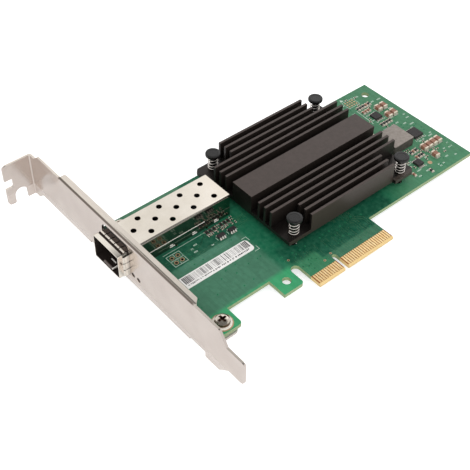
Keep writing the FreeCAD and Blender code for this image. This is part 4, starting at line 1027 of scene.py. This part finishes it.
def make_vias():
    """Tented vias on both faces, each with a dark middle of painted shade, and a fan-out field under the
    controller at the back.
    """
    rings, holes = bmesh.new(), bmesh.new()
    keep = face_boxes() + [hole_box("hook_hole", 2.4), hole_box("tail_hole", 2.4)]
    areas = (
        (36, (BOARD_LOW.x + 2, 14), (SINK_LOW.x - 1, CAGE_LOW.y - 1)),
        (46, (SINK_HIGH.x + 0.5, 14), (BOARD_HIGH.x - 2, BOARD_HIGH.y - 2)),
        (34, (PADS_LOW.x, PADS_HIGH.y + 1.5), (PADS_HIGH.x, SINK_LOW.y + 1)),
    )
    hole, edge = 0.16, 0.36
    for place in [p for count, low, high in areas for p in free_places(count, low, high, keep)]:
        ring(rings, place, hole, edge, FACE, FACE + COPPER, 12)
        prism(holes, circle(place, hole, 12), FACE, FACE + DARK)
    hole, edge, pitch = 0.12, 0.3, 1.0
    rows = int((CHIP_HIGH.x - CHIP_LOW.x) / pitch) - 1
    middle = (CHIP_LOW + CHIP_HIGH) / 2
    parts = islands("decoupling_capacitors")
    steps = [(i - (rows - 1) / 2) * pitch for i in range(rows)]
    for x, y in ((middle.x + u, middle.y + v) for u in steps for v in steps):
        if not near_any(x, y, parts, 0.5):
            ring(rings, (x, y), hole, edge, BACK - COPPER, BACK, 10)
            prism(holes, circle((x, y), hole, 10), BACK - DARK, BACK)
    new_piece("via_rings", rings, "board_laminate", MASKED_COPPER)
    new_piece("via_centres", holes, "board_laminate", HOLE_DARK)


def make_plated_rings():
    """Bare plated rings and, as painted shade, the dark middles of their holes: header holes, vias, the notch
    and the screw pads.
    """
    bm, dark = bmesh.new(), bmesh.new()
    x, y, _ = MOUNTS["header_holes"]
    half = 1.27
    header = [(x + i * half, y + j * half) for i in (-1, 1) for j in (-1, 1)]
    for z0, z1 in ((FACE, FACE + PLATE), (BACK - PLATE, BACK)):
        for place in header:
            ring(bm, place, 0.52, 0.86, z0, z1, 24)
        for place in PLATED_VIAS:
            ring(bm, place, 0.22, 0.5, z0, z1)
        ring(bm, NOTCH_VIA, 0.2, 0.5, z0, z1)
    for low, high in islands("bracket_screws"):
        ring(bm, middle_of(low, high), 3.2, 3.75, FACE, FACE + PLATE, 48)
    for place in header:
        ring(dark, place, 0.44, 0.5, BACK + 0.02, FACE - 0.02, 24)
    for place in (*PLATED_VIAS, NOTCH_VIA):
        prism(dark, circle(place, 0.22, 20), FACE, FACE + 0.015)
    new_piece("plated_rings", bm, "gold_plating", BARE_COPPER)
    new_piece("plated_hole_centres", dark, "board_laminate", HOLE_DARK)


def make_silkscreen():
    """Printed outlines, ticks and reference bars. There is no lettering."""
    bm = bmesh.new()
    z0, z1 = FACE, FACE + INK
    under = BACK - INK, BACK

    def line(*points, width=LINE):
        stroke(bm, points, width, z0, z1)

    hx, hy, _ = MOUNTS["header_holes"]
    half = 2.75
    frame_line(bm, (hx, hy), (hx, hy), half, LINE, z0, z1)
    line((hx, hy - half), (hx, hy + half))
    line((hx - half, hy), (hx + half, hy))
    y = CAGE_LOW.y - 1.3
    line((BOARD_LOW.x + 12, y), (SINK_LOW.x - 3, y), width=0.12)
    for low, high in islands("transistor_bodies"):
        for x in (low.x + 0.1, high.x - 1.2):
            line((x - 0.5, high.y + 3.1), (x + 0.7, high.y + 3.1), width=0.3)
        for x in (low.x - 0.45, high.x + 0.45):
            line((x, low.y), (x, high.y))
    gap, reach = 0.45, 0.9
    for node in ("power_mosfet", "regulator_chip", "supervisor_chip"):
        low, high = box_mm(node)
        for x, sx in ((low.x - gap, 1), (high.x + gap, -1)):
            for y, sy in ((low.y - gap - 0.7, 1), (high.y + gap + 0.7, -1)):
                line((x, y + sy * reach), (x, y), (x + sx * reach, y))
        prism(bm, circle((low.x - 0.9, high.y + 0.6), 0.22, 12), z0, z1)
    for low, high in islands("capacitor_bodies"):
        for x in (low.x - 0.3, high.x + 0.3):
            line((x, low.y + 0.2), (x, high.y - 0.2))
    for low, high in islands("chip_parts"):
        if low.x > SINK_HIGH.x:
            line((high.x + 0.32, low.y + 0.1), (high.x + 0.32, high.y - 0.1), width=0.14)
    lows, highs = zip(*(box for box in islands("board_pads") if box[1].x - box[0].x < 1.2))
    low, high = Vector(map(min, *lows)), Vector(map(max, *highs))
    frame_line(bm, low, high, 0.55, LINE, z0, z1)
    prism(bm, [(low.x - 0.4, high.y + 1.2), (low.x + 1.3, high.y + 1.4), (low.x + 0.1, high.y + 2.7)], z0, z1)
    x = SINK_HIGH.x + 12.8
    line((x, 48.4), (x + 0.6, 58.2), width=0.3)
    keep = face_boxes() + [hole_box("tail_hole", TAIL_CLEAR)]
    for count, start, end, gap, kinds, pitch, tall in (
        (58, (SINK_HIGH.x + 2, 14), (BOARD_HIGH.x - 2.5, BOARD_HIGH.y - 3), 0.9, 3, 0.52, 0.62),
        (4, (BOARD_LOW.x + 16, 36), (SINK_LOW.x - 4, CAGE_LOW.y - 4), 1.2, 2, 0.55, 0.6),
    ):
        for i, (x, y) in enumerate(free_places(count, start, end, keep, gap)):
            for k in range(2 + i % kinds):
                block(bm, (x + k * pitch, y, z0), (x + k * pitch + 0.3, y + tall, z1))
    x = LABEL_HIGH.x + 0.9
    for y, reach in ((LABEL_HIGH.y + 0.9, -2.0), (LABEL_LOW.y - 0.9, 2.0)):
        line((x - 2.0, y), (x, y), (x, y + reach))
    frame_line(bm, CHIP_LOW, CHIP_HIGH, 0.0, 0.18, *under)
    for node in ("boot_flash", "crystal"):
        frame_line(bm, *box_mm(node), 0.5, LINE, *under)
    frame_line(bm, (hx, hy), (hx, hy), half, LINE, *under)
    new_piece("silkscreen_lines", bm, "label_film", SILKSCREEN)


def make_label_print():
    """Generic bars on the label, heavier at both ends, over a row of plain marks."""
    bm = bmesh.new()
    z0, z1 = LABEL_HIGH.z, LABEL_HIGH.z + DARK
    start, end, heavy = LABEL_LOW.x + 0.6, LABEL_HIGH.x - 0.9, 2.2
    x = start
    while x < end:
        if x < start + heavy or x > end - heavy:
            width, gap = random.choice((0.34, 0.46)), 0.2
        else:
            width, gap = random.choice((0.08, 0.14, 0.3)), random.choice((0.2, 0.3, 0.5))
        block(bm, (x, LABEL_LOW.y + 1.95, z0), (x + width, LABEL_HIGH.y - 0.45, z1))
        x += width + gap
    x = start + 0.4
    while x < end - 1.5:
        run = random.uniform(0.25, 0.6)
        drop = random.choice((0.0, 0.2))
        block(bm, (x, LABEL_LOW.y + 0.85 + drop, z0), (x + run, LABEL_LOW.y + 1.45, z1))
        x += run + random.choice((0.2, 0.25, 0.6))
    new_piece("label_print", bm, "label_film", LABEL_INK)


def make_cage_details():
    """The cage's latch hooks, folded lips and seam, and the module latch inside its mouth; hooks, seam and
    the bars in the mouth are near-white as a painted highlight, the latch darker as painted shade.
    """
    lips, hooks, latch = bmesh.new(), bmesh.new(), bmesh.new()
    start, back = BRACKET_FACE + 4, CAGE_HIGH.x
    for out, y in ((-1, CAGE_LOW.y), (1, CAGE_HIGH.y)):
        y0, y1 = sorted((y, y + out * 0.16))
        for x in (CAGE_LOW.x + 22.3, CAGE_LOW.x + 32.1, CAGE_LOW.x + 41.9):
            block(hooks, (x - 1.0, y0, 0.6), (x + 1.0, y1, 0.95), 0.05)
            block(hooks, (x - 1.0, y0, 1.4), (x + 0.2, y1, 1.75), 0.05)
        y0, y1 = sorted((y, y + out * 0.14))
        block(hooks, (start, y0, CAGE_SEAM - 0.12), (back - 11.5, y1, CAGE_SEAM + 0.06), 0.04)
        block(lips, (start, y0, CAGE_HIGH.z - 0.75), (back - 0.8, y1, CAGE_HIGH.z - 0.6), 0.03)
    for y in (CAGE_LOW.y + 3.2, CAGE_MIDDLE, CAGE_HIGH.y - 3.2):
        block(lips, (back, y - 1.1, 2.2), (back + 0.16, y + 1.1, 5.6), 0.05)
    x, y = CAGE_LOW.x + 0.1, CAGE_MIDDLE
    block(hooks, (x, y - 3.0, 0.95), (x + 3.4, y - 2.6, 1.3), 0.06)
    block(hooks, (x + 2.3, y - 1.5, 1.15), (x + 2.7, y + 1.1, 1.4), 0.06)
    block(latch, (x, y - 2.6, 0.26), (x + 0.5, y + 2.1, 1.45), 0.06)
    # near-white: painted highlight on the hooks, the seam and the bars in the mouth
    new_piece("cage_latch_hooks", hooks, "cage_steel", BRIGHT_TIN_AND_HIGHLIGHT)
    new_piece("cage_folded_lips", lips, "cage_steel")
    # painted shade on the latch inside the port
    new_piece("module_latch_tongue", latch, "cage_steel", LATCH_METAL)


# --- dressing and finish

# Finish, rounding of sharp edges, and the CAD nodes that have both
FINISHES = (
    ("board_laminate", 0.0, "circuit_board"),
    ("gold_plating", 0.0, "edge_contacts_front", "edge_contacts_back", "port_contacts", "board_pads"),
    ("bracket_steel", 0.1, "bracket"),
    ("cage_steel", 0.05, "port_cage_cover", "port_cage_base"),
    ("connector_plastic", 0.1, "port_connector"),
    ("lamp_plastic", 0.08, "status_lamps"),
    ("moulding_compound", 0.1, "controller_chip", "regulator_chip", "supervisor_chip", "boot_flash"),
    ("moulding_compound", 0.12, "power_mosfet"),
    ("moulding_compound", 0.08, "transistor_bodies"),
    ("pad_rubber", 0.1, "thermal_pad"),
    ("anodised_aluminium", 0.1, "heatsink"),
    ("inductor_ferrite", 0.08, "power_inductor"),
    ("tin_plating", 0.03, "package_leads", "transistor_leads"),
    ("tin_plating", 0.1, "capacitor_ends"),
    ("tin_plating", 0.12, "crystal"),
    ("capacitor_ceramic", 0.08, "capacitor_bodies"),
    ("label_film", 0.02, "barcode_label"),
)

set_camera()
set_world()
set_lamp()
make_floor()
for slot_name, rounding, *nodes in FINISHES:
    for node_name in nodes:
        dress(node_name, slot_name, rounding)
make_springs()
make_pins()
make_screws()
make_collar()
make_chip_parts()
make_solder()
make_traces()
make_vias()
make_plated_rings()
make_silkscreen()
make_tiny_parts()
make_label_print()
make_cage_details()
bpy.context.scene.view_settings.view_transform = "Standard"
